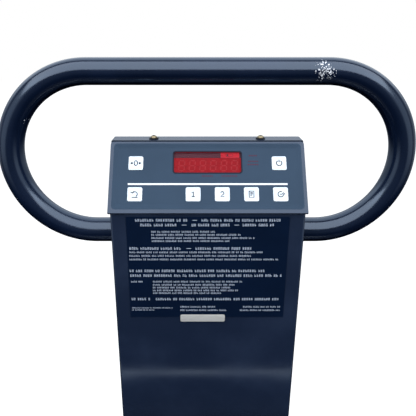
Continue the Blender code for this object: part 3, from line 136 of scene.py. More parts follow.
def placed(points, base):
    """Takes points from a seat's own directions to the frame's."""
    return base.origin + np.asarray(points, float) @ np.stack(base[1:])


def seat_box(node, base):
    """Lowest and highest corner of a CAD node, measured along a seat's directions."""
    local = (vertices(node) - base.origin) @ np.stack(base[1:]).T
    return local.min(0), local.max(0)


HEAD_Z = high("mast_shell")[2] + SEAT
FACE = seat((0, low("console_bezel")[1], low("console_bezel")[2] + BEZEL_THICKNESS * cos(FACE_SLOPE)),
            (1, 0, 0), (0, cos(FACE_SLOPE), sin(FACE_SLOPE)))
MAST_FRONT = seat((0, low("mast_shell")[1], HEAD_Z), *FORWARD)
HEAD_TOP = seat((0, high("console_bezel")[1], high("console_housing")[2]), *UPWARD)


# Sizes and colours that a user would change

def amount(name, description, default, **kind):
    return FloatProperty(name=name, description=description, default=default, **kind)


def size(name, description, default):
    return amount(name, description, default, unit="LENGTH", precision=5)


def share(name, description, default):
    return amount(name, description, default, min=0, max=1, subtype="FACTOR")


def number(name, description, default, least):
    return IntProperty(name=name, description=description, default=default, min=least)


def colour(name, description, default):
    return FloatVectorProperty(name=name, description=description, default=default, min=0, max=1,
                               subtype="COLOR")


class ScalePaint(bpy.types.PropertyGroup):
    # navy and handle are one powder coat: navy is lightened, painted light for the floor's bounce on the flat
    # faces, and handle is darkened, painted shade for the tube's rounded underside
    navy: colour("Navy", "Powder coat of the mast, head and saddles", (0.0095, 0.0170, 0.0385))
    handle: colour("Handle", "Gloss coat of the loop handle", (0.0036, 0.0084, 0.0245))
    navy_worn: colour("Worn navy", "Powder coat where it has been rubbed", (0.0150, 0.0250, 0.0530))
    gloss: share("Roughness", "Roughness of the powder coat", 0.20)
    shine: share("Shine", "Strength of the powder coat's reflections", 0.80)
    chip: colour("Chips", "Primer that shows where the paint has chipped", (0.88, 0.90, 0.92))
    panel: colour("Keypad film", "Film of the keypad panel", (0.0325, 0.0575, 0.0930))
    label: colour("Label film", "Film of the instruction label", (0.0024, 0.0078, 0.024))
    ink: colour("Label ink", "Pale printing on the label", (0.61, 0.70, 0.83))
    key: colour("Keys", "Moulding of the keys", (0.75, 0.85, 0.92))
    legend: colour("Legends", "Printing on the keys", (0.022, 0.025, 0.040))
    red: colour("Red filter", "Filter over the display", (0.36, 0.018, 0.028))


class ScaleHandle(bpy.types.PropertyGroup):
    around: number("Facets round", "Facets round the tube", 64, 12)
    along: number("Facets in a bend", "Facets along each half turn", 96, 12)
    rail_bend: size("Rail bend", "Bend radius of the handrail, on its axis", 0.075)


class ScaleHead(bpy.types.PropertyGroup):
    edge: size("Edge radius", "Radius of the head's folded edges", 0.0006)
    key_size: size("Key", "Side of a key cap", 0.0195)
    key_corner: size("Key corner", "Corner radius of a key cap", 0.0023)
    key_edge: size("Key edge", "Rounding of a key's rim", 0.0005)
    key_dish: size("Key dish", "Depth of the hollow in a key's top", 0.00012)
    line_height: size("Line height", "Width of the white line across the panel", 0.0024)
    line_level: size("Line level", "Height of the white line up the face", 0.0405)
    ink: size("Ink", "Thickness of the printing", 0.00006)
    stroke: size("Stroke", "Width of the strokes in the key legends", 0.0012)
    legend: amount("Legend scale", "Size of the key legends", 1.2)
    band: share("Dark band", "Share of the window that the dark band takes", 0.262)
    digits: number("Digits", "Digits in the display", 6, 1)
    screw_spread: size("Screw spread", "Distance of each top screw from the middle", 0.0732)
    screw_setback: size("Screw setback", "Distance of the top screws behind the face", 0.0095)


class ScaleLabel(bpy.types.PropertyGroup):
    large: size("Large letters", "Height of the large printing", 0.0037)
    small: size("Small letters", "Height of the small printing", 0.0025)
    tiny: size("Tiny letters", "Height of the finest printing", 0.0018)
    ink: size("Ink", "Thickness of the printing", 0.00005)
    plate_corner: size("Plate corner", "Corner radius of the blank plate", 0.0022)


class ScalePlatform(bpy.types.PropertyGroup):
    ribs: number("Mat ribs", "Ribs across the mat", 72, 4)
    rib_height: size("Rib height", "Height of a rib over the mat", 0.0012)
    soft_edge: size("Edge radius", "Rounding of folded and cut edges", 0.0007)


class ScaleWheels(bpy.types.PropertyGroup):
    around: number("Facets round", "Facets round a wheel", 96, 24)
    grooves: number("Tyre grooves", "Grooves round the tread", 3, 0)
    groove_depth: size("Groove depth", "Depth of a tread groove", 0.0016)
    ribs: number("Hub ribs", "Ribs in a hub's web", 8, 0)


class ScaleStage(bpy.types.PropertyGroup):
    camera_back: size("Camera back", "Distance from the mast's front to the camera", 0.5827)
    camera_rise: size("Camera rise", "Height of the camera over the mast's top", 0.2199)
    camera_side: size("Camera side", "Place of the camera across the scale", -0.0160)
    pitch: amount("Pitch", "How far the camera looks down", radians(19.95), subtype="ANGLE")
    lens: amount("Lens", "Focal length in millimetres", 41.41)
    shift: amount("Lens shift", "Sideways shift of the picture", 0.030)
    softbox: amount("Softbox", "Brightness of the large softbox in front", 2.6)
    softbox_low: size("Softbox, low edge", "Height of the softbox's front edge over the floor", 2.14)
    softbox_high: size("Softbox, high edge", "Height of the softbox's rear edge over the floor", 3.55)
    softbox_front: size("Softbox front", "Distance from the softbox's front edge to the origin", 2.65)
    softbox_rear: size("Softbox rear", "Distance from the origin back to the softbox's rear edge", 0.42)
    softbox_width: size("Softbox width", "Width of the softbox", 6.4)
    backdrop: amount("Backdrop", "Brightness of the backdrop behind", 1.35)
    room_rear: amount("Room, rear", "Brightness of the room's rear half", 0.42)
    room_front: amount("Room, front", "Brightness of the rest of the room", 0.10)
    room_sides: amount("Room, sides", "Brightness of the room's front corners", 0.65)


GROUPS = {
    "scale_paint": ScalePaint,
    "scale_handle": ScaleHandle,
    "scale_head": ScaleHead,
    "scale_label": ScaleLabel,
    "scale_platform": ScalePlatform,
    "scale_wheels": ScaleWheels,
    "scale_stage": ScaleStage,
}


# Shader maths

def operation(kind, swapped=False):
    """Makes a method of Value that adds one Math node."""
    def method(self, *others):
        operands = (*others, self) if swapped else (self, *others)
        return self.owner.node("ShaderNodeMath", {"operation": kind}, operands)
    return method


class Value:
    """A node's output, with Python's arithmetic."""

    def __init__(self, owner, socket):
        self.owner = owner
        self.socket = socket

    __add__ = __radd__ = operation("ADD")
    __sub__ = operation("SUBTRACT")
    __rsub__ = operation("SUBTRACT", swapped=True)
    __mul__ = __rmul__ = operation("MULTIPLY")
    __truediv__ = operation("DIVIDE")
    __abs__ = operation("ABSOLUTE")
    fraction = operation("FRACT")
    most = operation("MAXIMUM")

    def ramp(self, start, end):
        """0 below start, 1 above end, smooth between them. It falls where start is above end."""
        return self.owner.node("ShaderNodeMapRange", {"interpolation_type": "SMOOTHSTEP"},
                               {"Value": self, "From Min": start, "From Max": end})


class Tree:
    """The nodes of a world or a material."""

    def __init__(self, owner):
        owner.use_nodes = True
        self.tree = owner.node_tree

    def node(self, kind, settings=None, values=None, output=0):
        """Adds a node: its settings first, then the values or links of its sockets."""
        node = self.tree.nodes.new(kind)
        for name, setting in (settings or {}).items():
            setattr(node, name, setting)
        pairs = values.items() if isinstance(values, dict) else enumerate(values or ())
        for name, value in pairs:
            if isinstance(value, Value):
                self.tree.links.new(value.socket, node.inputs[name])
            else:
                node.inputs[name].default_value = value
        return Value(self, node.outputs[output])

    def axis(self, vector, index):
        return self.node("ShaderNodeSeparateXYZ", None, [vector], index)

    def mix(self, factor, first, second):
        """Mixes two colours, each a triple or another mix."""
        first, second = (tone if isinstance(tone, Value) else (*tone, 1) for tone in (first, second))
        return self.node("ShaderNodeMix", {"data_type": "RGBA"}, {0: factor, 6: first, 7: second}, output=2)


class Recipe(Tree):
    """One material: a Principled shader, and the nodes that feed it. In the name of a socket an
    underscore stands for a space."""

    def __init__(self, name, **constants):
        self.material = bpy.data.materials.new(name)
        super().__init__(self.material)
        self.sockets = self.tree.nodes["Principled BSDF"].inputs
        for socket, value in constants.items():
            self.sockets[socket.replace("_", " ")].default_value = value
        self.place = self.node("ShaderNodeTexCoord", output="Object")

    def feed(self, **values):
        for socket, value in values.items():
            self.tree.links.new(value.socket, self.sockets[socket.replace("_", " ")])
        return self

    def scaled(self, stretch):
        """Object coordinates, stretched along each axis."""
        return self.node("ShaderNodeMapping", None, {"Vector": self.place, "Scale": stretch})

    def noise(self, scale, detail=2.0, roughness=0.5, at=None):
        return self.node("ShaderNodeTexNoise", None, {
            "Vector": at or self.place, "Scale": scale, "Detail": detail, "Roughness": roughness,
        })

    def cells(self, scale, output=0):
        """The distance to the nearest cell's middle, or as output 1 that cell's random colour."""
        return self.node("ShaderNodeTexVoronoi", None, {"Vector": self.place, "Scale": scale}, output)

    def bump(self, height, distance):
        return self.node("ShaderNodeBump", None, {"Distance": distance, "Height": height})

    def near(self, point, reach):
        """1 at a point, falling to 0 at the given reach along each axis."""
        value = self.place
        for kind, other in (("SUBTRACT", point), ("DIVIDE", reach)):
            value = self.node("ShaderNodeVectorMath", {"operation": kind}, [value, tuple(other)])
        return self.node("ShaderNodeVectorMath", {"operation": "LENGTH"}, [value], output=1).ramp(1.0, 0.0)


def shaded(tone, factor):
    """A colour made darker, or lighter where the factor is over 1."""
    return tuple(np.array(tone) * factor)


# Finishes

SHEEN = (0.67, 0.82, 1.0, 1.0)    # tint of the highlights on the blue paints and films
BLUE_COAT = (0.010, 0.018, 0.042)
EVEN = (1.0, 1.0, 1.0)            # lines that run no one way


def powder(name, base, worn, roughness, shine, grain=900.0, depth=0.00003):
    """Powder coat: orange peel in its surface, cloudy wear in its colour and gloss, a few dust specks."""
    recipe = Recipe(name, Specular_IOR_Level=shine, Specular_Tint=SHEEN)
    wear = recipe.noise(9.0, 4.0, 0.6).ramp(0.42, 0.75)
    specks = recipe.cells(420.0).ramp(0.10, 0.06) * recipe.noise(60.0).ramp(0.60, 0.70)
    return recipe.feed(
        Base_Color=recipe.mix(specks * 0.35, recipe.mix(wear, base, worn), (0.25, 0.27, 0.30)),
        Roughness=wear * 0.08 + recipe.noise(240.0) * 0.05 + (roughness - 0.04),
        Normal=recipe.bump(recipe.noise(grain, 1.0) + specks * 0.5, depth))


def chipped(name, base, primer, gloss):
    """The handle's coat, with chips knocked out of it: a cluster at the right bend, a few at the left. Each
    cell of a fine pattern may lose its paint, and loses it sooner near the middle of a cluster."""
    recipe = Recipe(name, Specular_IOR_Level=1.0, Specular_Tint=SHEEN)
    front, top = low("handle_loop")[1], high("handle_loop")[2]
    tube = extent("handle_loop")[1]
    cluster = recipe.near((0.1576, front + tube * 0.2, top - tube * 0.43), (0.024, tube * 1.4, tube * 0.66))
    stray = recipe.near((-0.2530, front + tube * 0.1, top - tube * 2.32), (0.016, tube, 0.006))
    chance = cluster * 0.46 + stray * 0.27
    ragged = recipe.noise(1500.0) * 0.40
    coarse, fine = ((recipe.cells(scale) + ragged).ramp(0.72, 0.64)
                    * (chance - recipe.cells(scale, output=1)).ramp(0.0, 0.04) for scale in (430.0, 820.0))
    bare = coarse.most(fine)
    wear = recipe.noise(9.0, 4.0, 0.6).ramp(0.42, 0.75)
    return recipe.feed(
        Base_Color=recipe.mix(bare, recipe.mix(wear, base, shaded(base, 1.4)), primer),
        Roughness=wear * 0.06 + recipe.noise(240.0) * 0.04 + bare * 0.4 + (gloss - 0.07),
        Normal=recipe.bump(recipe.noise(900.0, 1.0) * 0.3 - bare * 0.5, 0.0001))


def scuffed(name, base, scuff):
    """The ramps' coat, with scuffs along the way that wheels take."""
    recipe = Recipe(name, Coat_Weight=0.2, Coat_Roughness=0.2)
    scuffs = recipe.noise(40.0, 4.0, 0.7, recipe.scaled((0.25, 3.0, 1.0))).ramp(0.55, 0.72)
    return recipe.feed(Base_Color=recipe.mix(scuffs * 0.6, base, scuff), Roughness=scuffs * 0.2 + 0.40,
                       Normal=recipe.bump(recipe.noise(520.0, 1.0) - scuffs * 0.4, 0.00006))


def rubber(name, base, dust, grain, depth=0.00005):
    """Rubber with dirt in its pores."""
    recipe = Recipe(name, Specular_IOR_Level=0.35)
    dirt = recipe.noise(22.0, 5.0, 0.65).ramp(0.48, 0.78)
    return recipe.feed(Base_Color=recipe.mix(dirt * 0.7, base, dust), Roughness=dirt * 0.15 + 0.66,
                       Normal=recipe.bump(recipe.noise(grain), depth))


def gritty(name, resin, glint):
    """Anti-slip strip: coarse grit in dark resin."""
    recipe = Recipe(name)
    grit = recipe.cells(1500.0)
    sparkle = grit.ramp(0.10, 0.02)
    return recipe.feed(Base_Color=recipe.mix(sparkle * 0.5, resin, glint), Roughness=0.95 - sparkle * 0.5,
                       Normal=recipe.bump(1 - grit, 0.0005))


def metal(name, tone, dull, roughness, stretch, scale):
    """Bare metal: fine lines, stretched along an axis where it is brushed or drawn, and cloudy tarnish."""
    recipe = Recipe(name, Metallic=1.0)
    lines = recipe.noise(scale, 3.0, 0.6, recipe.scaled(stretch))
    tarnish = recipe.noise(30.0, 4.0, 0.6).ramp(0.45, 0.8)
    return recipe.feed(Base_Color=recipe.mix(tarnish * 0.6, tone, dull),
                       Roughness=lines * 0.14 + tarnish * 0.10 + (roughness - 0.06),
                       Normal=recipe.bump(lines, 0.00002))


def blackened(name, black, bare):
    """Blackened steel, rubbed bare in places."""
    recipe = Recipe(name, Metallic=0.7)
    rub = recipe.noise(500.0, 3.0).ramp(0.55, 0.75)
    return recipe.feed(Base_Color=recipe.mix(rub, black, bare), Roughness=rub * 0.15 + 0.35)


def foil(name, pale, rubbed):
    """Foil plate: pale, slightly warm, rubbed and specked."""
    recipe = Recipe(name, Metallic=0.35)
    rub = recipe.noise(70.0, 5.0, 0.7, recipe.scaled((1.0, 1.0, 4.0))).ramp(0.40, 0.75)
    return recipe.feed(Base_Color=recipe.mix(rub * 0.5, pale, rubbed), Roughness=rub * 0.2 + 0.36,
                       Normal=recipe.bump(recipe.noise(1500.0), 0.00001))


def moulding(name, base, worn, roughness):
    """Moulded plastic: fine spark-eroded grain and a little uneven gloss."""
    recipe = Recipe(name)
    cloud = recipe.noise(35.0, 3.0).ramp(0.4, 0.8)
    return recipe.feed(Base_Color=recipe.mix(cloud, base, worn), Roughness=cloud * 0.1 + (roughness - 0.03),
                       Normal=recipe.bump(recipe.noise(1400.0), 0.00002))


def key_moulding(name, white, grey):
    """The keys' white moulding, a touch duller and greyer where fingers land."""
    recipe = Recipe(name, Coat_Weight=0.2, Coat_Roughness=0.25)
    grime = recipe.noise(160.0, 4.0, 0.6).ramp(0.50, 0.80)
    return recipe.feed(Base_Color=recipe.mix(grime * 0.25, white, grey), Roughness=grime * 0.12 + 0.33,
                       Normal=recipe.bump(recipe.noise(1500.0), 0.00001))


def film(name, tone, shade, roughness, grain):
    """Screen-printed film: a fine matt tooth and faint rubbed streaks."""
    recipe = Recipe(name, Specular_IOR_Level=0.14, Specular_Tint=SHEEN)
    cloud = recipe.noise(12.0, 4.0, 0.6).ramp(0.35, 0.75)
    streak = recipe.noise(70.0, 3.0, 0.6, recipe.scaled((0.3, 1.0, 1.6))).ramp(0.55, 0.75)
    return recipe.feed(Base_Color=recipe.mix(cloud, tone, shaded(tone, shade)),
                       Roughness=streak * 0.08 + (roughness - 0.02),
                       Normal=recipe.bump(recipe.noise(grain, 1.0), 0.000012))


def ink(name, tone, roughness=0.5):
    """Screen ink: its density varies a little over the print."""
    recipe = Recipe(name, Specular_IOR_Level=0.12)
    thin = recipe.noise(900.0, 3.0, 0.6).ramp(0.45, 0.75)
    return recipe.feed(Base_Color=recipe.mix(thin * 0.35, tone, shaded(tone, 0.72)),
                       Roughness=thin * 0.1 + roughness)


def acrylic(name, tone):
    """Red acrylic: thinly tinted, so that what lies behind it shows, with faint streaks."""
    recipe = Recipe(name, Alpha=0.07, Specular_IOR_Level=0.10)
    cloud = recipe.noise(90.0, 3.0).ramp(0.35, 0.75)
    return recipe.feed(Base_Color=recipe.mix(cloud, tone, shaded(tone, 0.86)),
                       Roughness=cloud * 0.06 + 0.20)


def painted_glow(name, tone, strength):
    """Painted light behind the filter: a glowing patch with a slightly uneven face, standing in for the light
    that falls through the red filter onto the unlit display.
    """
    recipe = Recipe(name, Roughness=0.5, Specular_IOR_Level=0.1, Emission_Strength=strength)
    lit = recipe.mix(recipe.noise(300.0).ramp(0.3, 0.8), tone, shaded(tone, 0.8))
    return recipe.feed(Base_Color=lit, Emission_Color=lit)


def jacket(name, sleeve, brass, steel):
    """Battery jacket: dark sleeve with a metallic band at the positive end and bare steel ends."""
    recipe = Recipe(name)
    step = middle("battery_2")[0] - middle("battery_1")[0]
    end_share = extent("battery_1")[0] / step
    phase = ((recipe.axis(recipe.place, 0) - low("battery_1")[0]) / step).fraction()
    band = phase.ramp(0.70, 0.71) * (1 - phase.ramp(end_share - 0.02, end_share - 0.01))
    ends = 1 - phase.ramp(0.012, 0.018)
    return recipe.feed(Base_Color=recipe.mix(ends, recipe.mix(band, sleeve, brass), steel),
                       Metallic=band.most(ends), Roughness=recipe.noise(200.0) * 0.08 + 0.25)


def laminate(name, resist, copper):
    """Circuit board: green resist over copper tracks."""
    recipe = Recipe(name, Coat_Weight=0.3, Coat_Roughness=0.2)
    tracks = recipe.node("ShaderNodeTexBrick", {"offset": 0.37}, {
        "Vector": recipe.place, "Scale": 160.0, "Mortar Size": 0.03,
        "Color1": (0, 0, 0, 1), "Color2": (0, 0, 0, 1), "Mortar": (1, 1, 1, 1),
    })
    return recipe.feed(Base_Color=recipe.mix(tracks, resist, copper),
                       Roughness=recipe.noise(400.0) * 0.1 + 0.35, Normal=recipe.bump(tracks, 0.00003))


# What makes each finish, and what it is given. A word stands for a setting of scale_paint
FINISHES = {
    "navy_paint": (powder, "navy", "navy_worn", "gloss", "shine"),
    "handle_paint": (chipped, "handle", "chip", "gloss"),
    "frame_paint": (powder, (0.010, 0.016, 0.034), (0.030, 0.034, 0.042), 0.46, 0.5, 420.0, 0.00008),
    "deck_paint": (powder, BLUE_COAT, (0.026, 0.034, 0.055), 0.38, 0.5, 520.0, 0.00006),
    "ramp_paint": (scuffed, BLUE_COAT, (0.085, 0.092, 0.105)),
    "rubber": (rubber, (0.012, 0.012, 0.013), (0.060, 0.058, 0.055), 1100.0),
    "tyre_rubber": (rubber, (0.022, 0.022, 0.023), (0.11, 0.105, 0.10), 800.0),
    "rubber_mat": (rubber, (0.016, 0.016, 0.018), (0.075, 0.073, 0.070), 700.0, 0.00008),
    "grip_strip": (gritty, (0.022, 0.022, 0.024), (0.16, 0.16, 0.17)),
    "bare_alloy": (metal, (0.66, 0.67, 0.69), (0.46, 0.47, 0.49), 0.38, (1.0, 0.04, 1.0), 1600.0),
    "bright_steel": (metal, (0.63, 0.63, 0.64), (0.38, 0.37, 0.36), 0.26, EVEN, 900.0),
    "stainless": (metal, (0.66, 0.66, 0.65), (0.52, 0.52, 0.52), 0.24, (0.05, 1.0, 1.0), 1800.0),
    "brass_screw": (metal, (0.42, 0.35, 0.22), (0.20, 0.16, 0.10), 0.28, EVEN, 1200.0),
    "black_screw": (blackened, (0.020, 0.020, 0.022), (0.15, 0.15, 0.15)),
    "plate_alloy": (foil, (0.74, 0.74, 0.70), (0.52, 0.51, 0.46)),
    "grey_moulding": (moulding, (0.15, 0.16, 0.17), (0.20, 0.205, 0.21), 0.45),
    "black_moulding": (moulding, (0.013, 0.013, 0.014), (0.022, 0.022, 0.023), 0.42),
    "key_white": (key_moulding, "key", (0.66, 0.69, 0.72)),
    "panel_film": (film, "panel", 0.88, 0.40, 1800.0),
    "sign_film": (film, "label", 1.25, 0.38, 1500.0),
    "label_ink": (ink, "ink"),
    "white_ink": (ink, (0.86, 0.89, 0.92)),
    "legend_ink": (ink, "legend"),
    "red_ink": (ink, (0.085, 0.026, 0.048)),
    # Painted shadow: the dark ring round the display window stands for the shade of the window's recess
    "rim_ink": (ink, (0.011, 0.013, 0.026)),
    "red_filter": (acrylic, "red"),
    # Painted light: the display is unlit, and these glowing finishes stand in for the light that falls on its
    # parts through the red filter
    "display_field": (painted_glow, (0.170, 0.003, 0.006), 0.90),
    "display_digit": (painted_glow, (0.190, 0.012, 0.016), 0.90),
    "display_band": (ink, (0.034, 0.021, 0.033), 0.35),
    "display_mark": (painted_glow, (0.32, 0.012, 0.020), 0.80),
    "cell_jacket": (jacket, (0.014, 0.015, 0.018), (0.62, 0.38, 0.20), (0.62, 0.62, 0.62)),
    "board_laminate": (laminate, (0.010, 0.085, 0.035), (0.035, 0.19, 0.07)),
}
MADE = {}


def finish(name):
    """Gives a material, made the first time that it is asked for."""
    if name not in MADE:
        maker, *given = FINISHES[name]
        paint = bpy.context.scene.scale_paint
        given = [getattr(paint, word) if isinstance(word, str) else word for word in given]
        MADE[name] = maker(name, *given).material
    return MADE[name]


# Surfaces

class Shape:
    """Gathers surfaces into one mesh. A surface is a grid of points: closed rings, one after another."""

    def __init__(self):
        self.points = []
        self.faces = []
        self.marks = []
        self.count = 0

    def add(self, rings, along=False, caps=True):
        """Adds a grid of rings. along joins the last ring to the first, and caps closes the first and the
        last ring. Each corner is marked with its place on the grid."""
        rings = np.asarray(rings, float)
        rows, columns = rings.shape[:2]
        index = np.arange(rows * columns).reshape(rows, columns) + self.count
        index = np.hstack([index, index[:, :1]])
        if along:
            index = np.vstack([index, index[:1]])
        down, across = np.indices(index.shape)
        places = np.stack([across / columns, down / rows], -1)
        corners = (np.s_[:-1, :-1], np.s_[:-1, 1:], np.s_[1:, 1:], np.s_[1:, :-1])
        self.faces.extend(np.stack([index[corner] for corner in corners], -1).reshape(-1, 4).tolist())
        self.marks.append(np.stack([places[corner] for corner in corners], -2).reshape(-1, 2))
        if caps and not along:
            self.faces.extend([index[0, -2::-1].tolist(), index[-1, :-1].tolist()])
            self.marks.append(np.zeros((2 * columns, 2)))
        self.points.append(rings.reshape(-1, 3))
        self.count += rows * columns
        return self

    def piece(self, name, coat, node=None, slot=None, body="base", sharp=35.0):
        """Makes the object: points that meet are merged, and faces are turned outwards."""
        mesh = bpy.data.meshes.new(name)
        mesh.from_pydata(np.vstack(self.points).tolist(), [], self.faces)
        marks = np.vstack(self.marks).astype(np.float32)
        mesh.uv_layers.new(name="grid").data.foreach_set("uv", marks.ravel())
        tidy(mesh)
        dressed(name, mesh, body, coat, node, sharp)


def tidy(mesh, flat=None):
    """Merges points that meet, then turns each closed shell's faces outwards, or joins those that lie
    flat."""
    shape = bmesh.new()
    shape.from_mesh(mesh)
    bmesh.ops.remove_doubles(shape, verts=shape.verts, dist=MERGE)
    bmesh.ops.dissolve_degenerate(shape, edges=shape.edges, dist=MERGE)
    if flat is None:
        bmesh.ops.recalc_face_normals(shape, faces=shape.faces)
    else:
        bmesh.ops.dissolve_limit(shape, angle_limit=flat, verts=shape.verts, edges=shape.edges)
    shape.to_mesh(mesh)
    shape.free()


def linked(name, data):
    """Puts an object in the scene."""
    item = bpy.data.objects.new(name, data)
    bpy.context.scene.collection.objects.link(item)
    return item


def dressed(name, mesh, body, coat, node=None, sharp=35.0):
    """Makes a mesh a piece, with its finish, on the body that carries it. Its one material is its finish, and
    a CAD node that it stands for is hidden."""
    mesh.shade_smooth()
    mesh.set_sharp_from_angle(angle=radians(sharp))
    mesh.materials.clear()
    mesh.materials.append(finish(coat))
    piece = linked(name, mesh)
    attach(piece, body)
    if node:
        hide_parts(node)
    return piece


def softened(node, coat, name, edge, segments=2):
    """Copies a CAD node, merges its loose triangles, and rounds its edges with a Bevel."""
    source = frame["nodes"][node]
    mesh = source.data.copy()
    mesh.name = name
    tidy(mesh, flat=radians(0.4))
    bevel = dressed(name, mesh, source["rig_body"], coat, node).modifiers.new("edges", "BEVEL")
    bevel.width = edge
    bevel.segments = segments
    bevel.limit_method = "ANGLE"
    bevel.angle_limit = radians(32.0)
    bevel.harden_normals = True


def paint_node(node, coat):
    """Gives a CAD node that stays its finish."""
    slots = frame["nodes"][node].data.materials
    slots.clear()
    slots.append(finish(coat))


def circle(radius, count, start=0.0):
    """Points on a circle, as two columns."""
    angle = start + np.arange(count) * 2 * pi / count
    return np.stack([radius * np.cos(angle), radius * np.sin(angle)], -1)


def arc_line(radius, start, end, centre=(0, 0), steps=24):
    """Points along an arc whose ends are given in degrees."""
    angle = np.radians(np.linspace(start, end, steps + 1))
    return np.stack([centre[0] + radius * np.cos(angle), centre[1] + radius * np.sin(angle)], -1)


def rounded(half_width, half_height, corner, steps=6, inset=0.0):
    """Points round a rectangle whose corners are quarter circles. An inset moves every side in alike."""
    radius = max(corner - inset, MERGE * 4)
    reach = np.array([half_width, half_height]) - inset - radius
    angles = np.linspace(0, pi / 2, steps + 1) + np.arange(4)[:, None] * pi / 2
    signs = np.array([[1, 1], [-1, 1], [-1, -1], [1, -1]])
    arcs = radius * np.stack([np.cos(angles), np.sin(angles)], -1)
    return (arcs + (signs * reach)[:, None]).reshape(-1, 2)


def quarter_turn(radius, steps=4):
    """A rounded rim as (inset, drop) pairs: from the side wall up and over to the face."""
    angle = np.linspace(0, pi / 2, steps + 1)
    return np.stack([radius * (1 - np.cos(angle)), radius * (1 - np.sin(angle))], -1)


def raised(base, outline, level):
    """An outline's points at one level over a seat."""
    return placed(np.column_stack([outline, np.full(len(outline), level)]), base)


def slab(base, half_width, half_height, corner, bottom, top, edge, centre=(0, 0), steps=6):
    """A plate with rounded corners and rounded rims: its outline is carried up its side and over
    each rim, and the two faces close it."""
    rim = quarter_turn(edge)
    levels = [(inset, bottom + drop) for inset, drop in rim[::-1]]
    levels += [(inset, top - drop) for inset, drop in rim]
    return [raised(base, rounded(half_width, half_height, corner, steps, inset) + centre, level)
            for inset, level in levels]


def patch(base, x, y, width, height, bottom, top):
    """A small flat block of ink, given by its lower left corner."""
    outline = [(x, y), (x + width, y), (x + width, y + height), (x, y + height)]
    return [raised(base, outline, level) for level in (bottom, top)]


def revolved(base, profile, count, hexagon=()):
    """Turns (radius, level) pairs round a seat's outward axis. Rings in hexagon have six flats."""
    profile = np.asarray(profile, float)
    angle = np.arange(count) * 2 * pi / count
    flats = cos(pi / 6) / np.cos((angle + pi / 6) % (pi / 3) - pi / 6)
    reach, level = (np.repeat(profile[:, column:column + 1], count, axis=1) for column in (0, 1))
    for ring in hexagon:
        reach[ring] *= flats
    return placed(np.stack([reach * np.cos(angle), reach * np.sin(angle), level], -1), base)


def turned(name, node, coat, base, profile, count, sharp=35.0):
    """A turned piece. Its profile starts and ends on the axis, so it needs no caps."""
    Shape().add(revolved(base, profile, count), caps=False).piece(name, coat, node, sharp=sharp)


def both_ends(end, length):
    """A profile that closes with the end it starts with."""
    return [*end, *((radius, length - level) for radius, level in end[::-1])]


def domed_end(radius, thick, shank, bulge, steps):
    """The end of a pin: a domed head from the axis to its rim, and in to the shank."""
    dome = [(radius * sin(a), thick * (1 - cos(a)) * bulge) for a in np.linspace(0, pi / 2, steps)]
    return [*dome, (radius, thick), (shank, thick)]


def bent(points):
    """Adds the fillet (last column) to each inner corner of a flat path; a bend has a step per 4 degrees."""
    points = np.array(points, float)
    corners, radii = points[:, :2], points[:, 2]
    line = [corners[0]]
    for before, corner, after, radius in zip(corners, corners[1:], corners[2:], radii[1:]):
        back, ahead = ((end - corner) / np.linalg.norm(end - corner) for end in (before, after))
        half = np.arccos(np.clip(back @ ahead, -1, 1)) / 2
        centre = corner + (back + ahead) / np.linalg.norm(back + ahead) * radius / sin(half)
        start, end = (corner + way * radius / tan(half) - centre for way in (back, ahead))
        turn = np.arctan2(start[0] * end[1] - start[1] * end[0], start @ end)
        angles = np.linspace(0, turn, max(3, int(abs(turn) / radians(4))) + 1)[:, None]
        line.extend(centre + start * np.cos(angles) + np.array([-start[1], start[0]]) * np.sin(angles))
    return np.array([*line, corners[-1]])


def normals_of(line):
    """Unit normals to a flat path, to the right of its run."""
    run = np.gradient(line, axis=0)
    run = run / np.linalg.norm(run, axis=1, keepdims=True)
    return np.stack([run[:, 1], -run[:, 0]], -1)


def swept(base, line, profile, outward=None):
    """Carries a profile of (side, up) pairs along a flat path on a seat."""
    line, profile = np.asarray(line, float), np.asarray(profile, float)
    outward = normals_of(line) if outward is None else outward
    flat = line[:, None] + outward[:, None] * profile[None, :, :1]
    levels = np.broadcast_to(profile[None, :, 1:], (*flat.shape[:2], 1))
    return placed(np.concatenate([flat, levels], -1), base)


def ribbon(base, line, width, bottom, top):
    """A flat stroke of even width along a path on a seat's face."""
    half = width / 2
    return swept(base, line, [(half, bottom), (half, top), (-half, top), (-half, bottom)])


# Fasteners: the radius and the height of each kind of head

SADDLE_BOLT = (0.0042, 0.0030)
SMALL_SCREW = (0.0036, 0.0022)
TOP_SCREW = (0.0046, 0.0030)
FOOT_BOLT = (0.0062, 0.0055)
LAP_BOLT = (0.0052, 0.0045)
CELL_BOLT = (0.0055, 0.0035)


def button_head(radius, height):
    """A domed head with a hexagon socket, as a profile from its rim to the socket's floor."""
    span = radians(72)
    dome = [(radius * cos(a), height * (0.25 + 0.75 * sin(a) / sin(span))) for a in np.linspace(0, span, 9)]
    key = radius * 0.42
    profile = [(radius, 0), *dome, (key * 1.12, height), (key, height * 0.96), (key, height * 0.4),
               (0, height * 0.34)]
    return profile, (len(profile) - 3, len(profile) - 2)


def hexagon_head(radius, height):
    """A hexagon bolt head on its washer face, chamfered at the top."""
    profile = [(radius * 1.25, 0), (radius * 1.25, height * 0.18), (radius * 1.1, height * 0.2),
               (radius * 1.1, height * 0.88), (radius * 0.9, height), (0, height)]
    return profile, (2, 3)


def make_screws(name, places, head, coat="bright_steel", kind=button_head):
    """One piece with a screw on each of the seats."""
    shape = Shape()
    profile, flats = kind(*head)
    for place in places:
        shape.add(revolved(place, profile, 36, flats))
    shape.piece(name, coat, slot="bright_steel")


# Operators

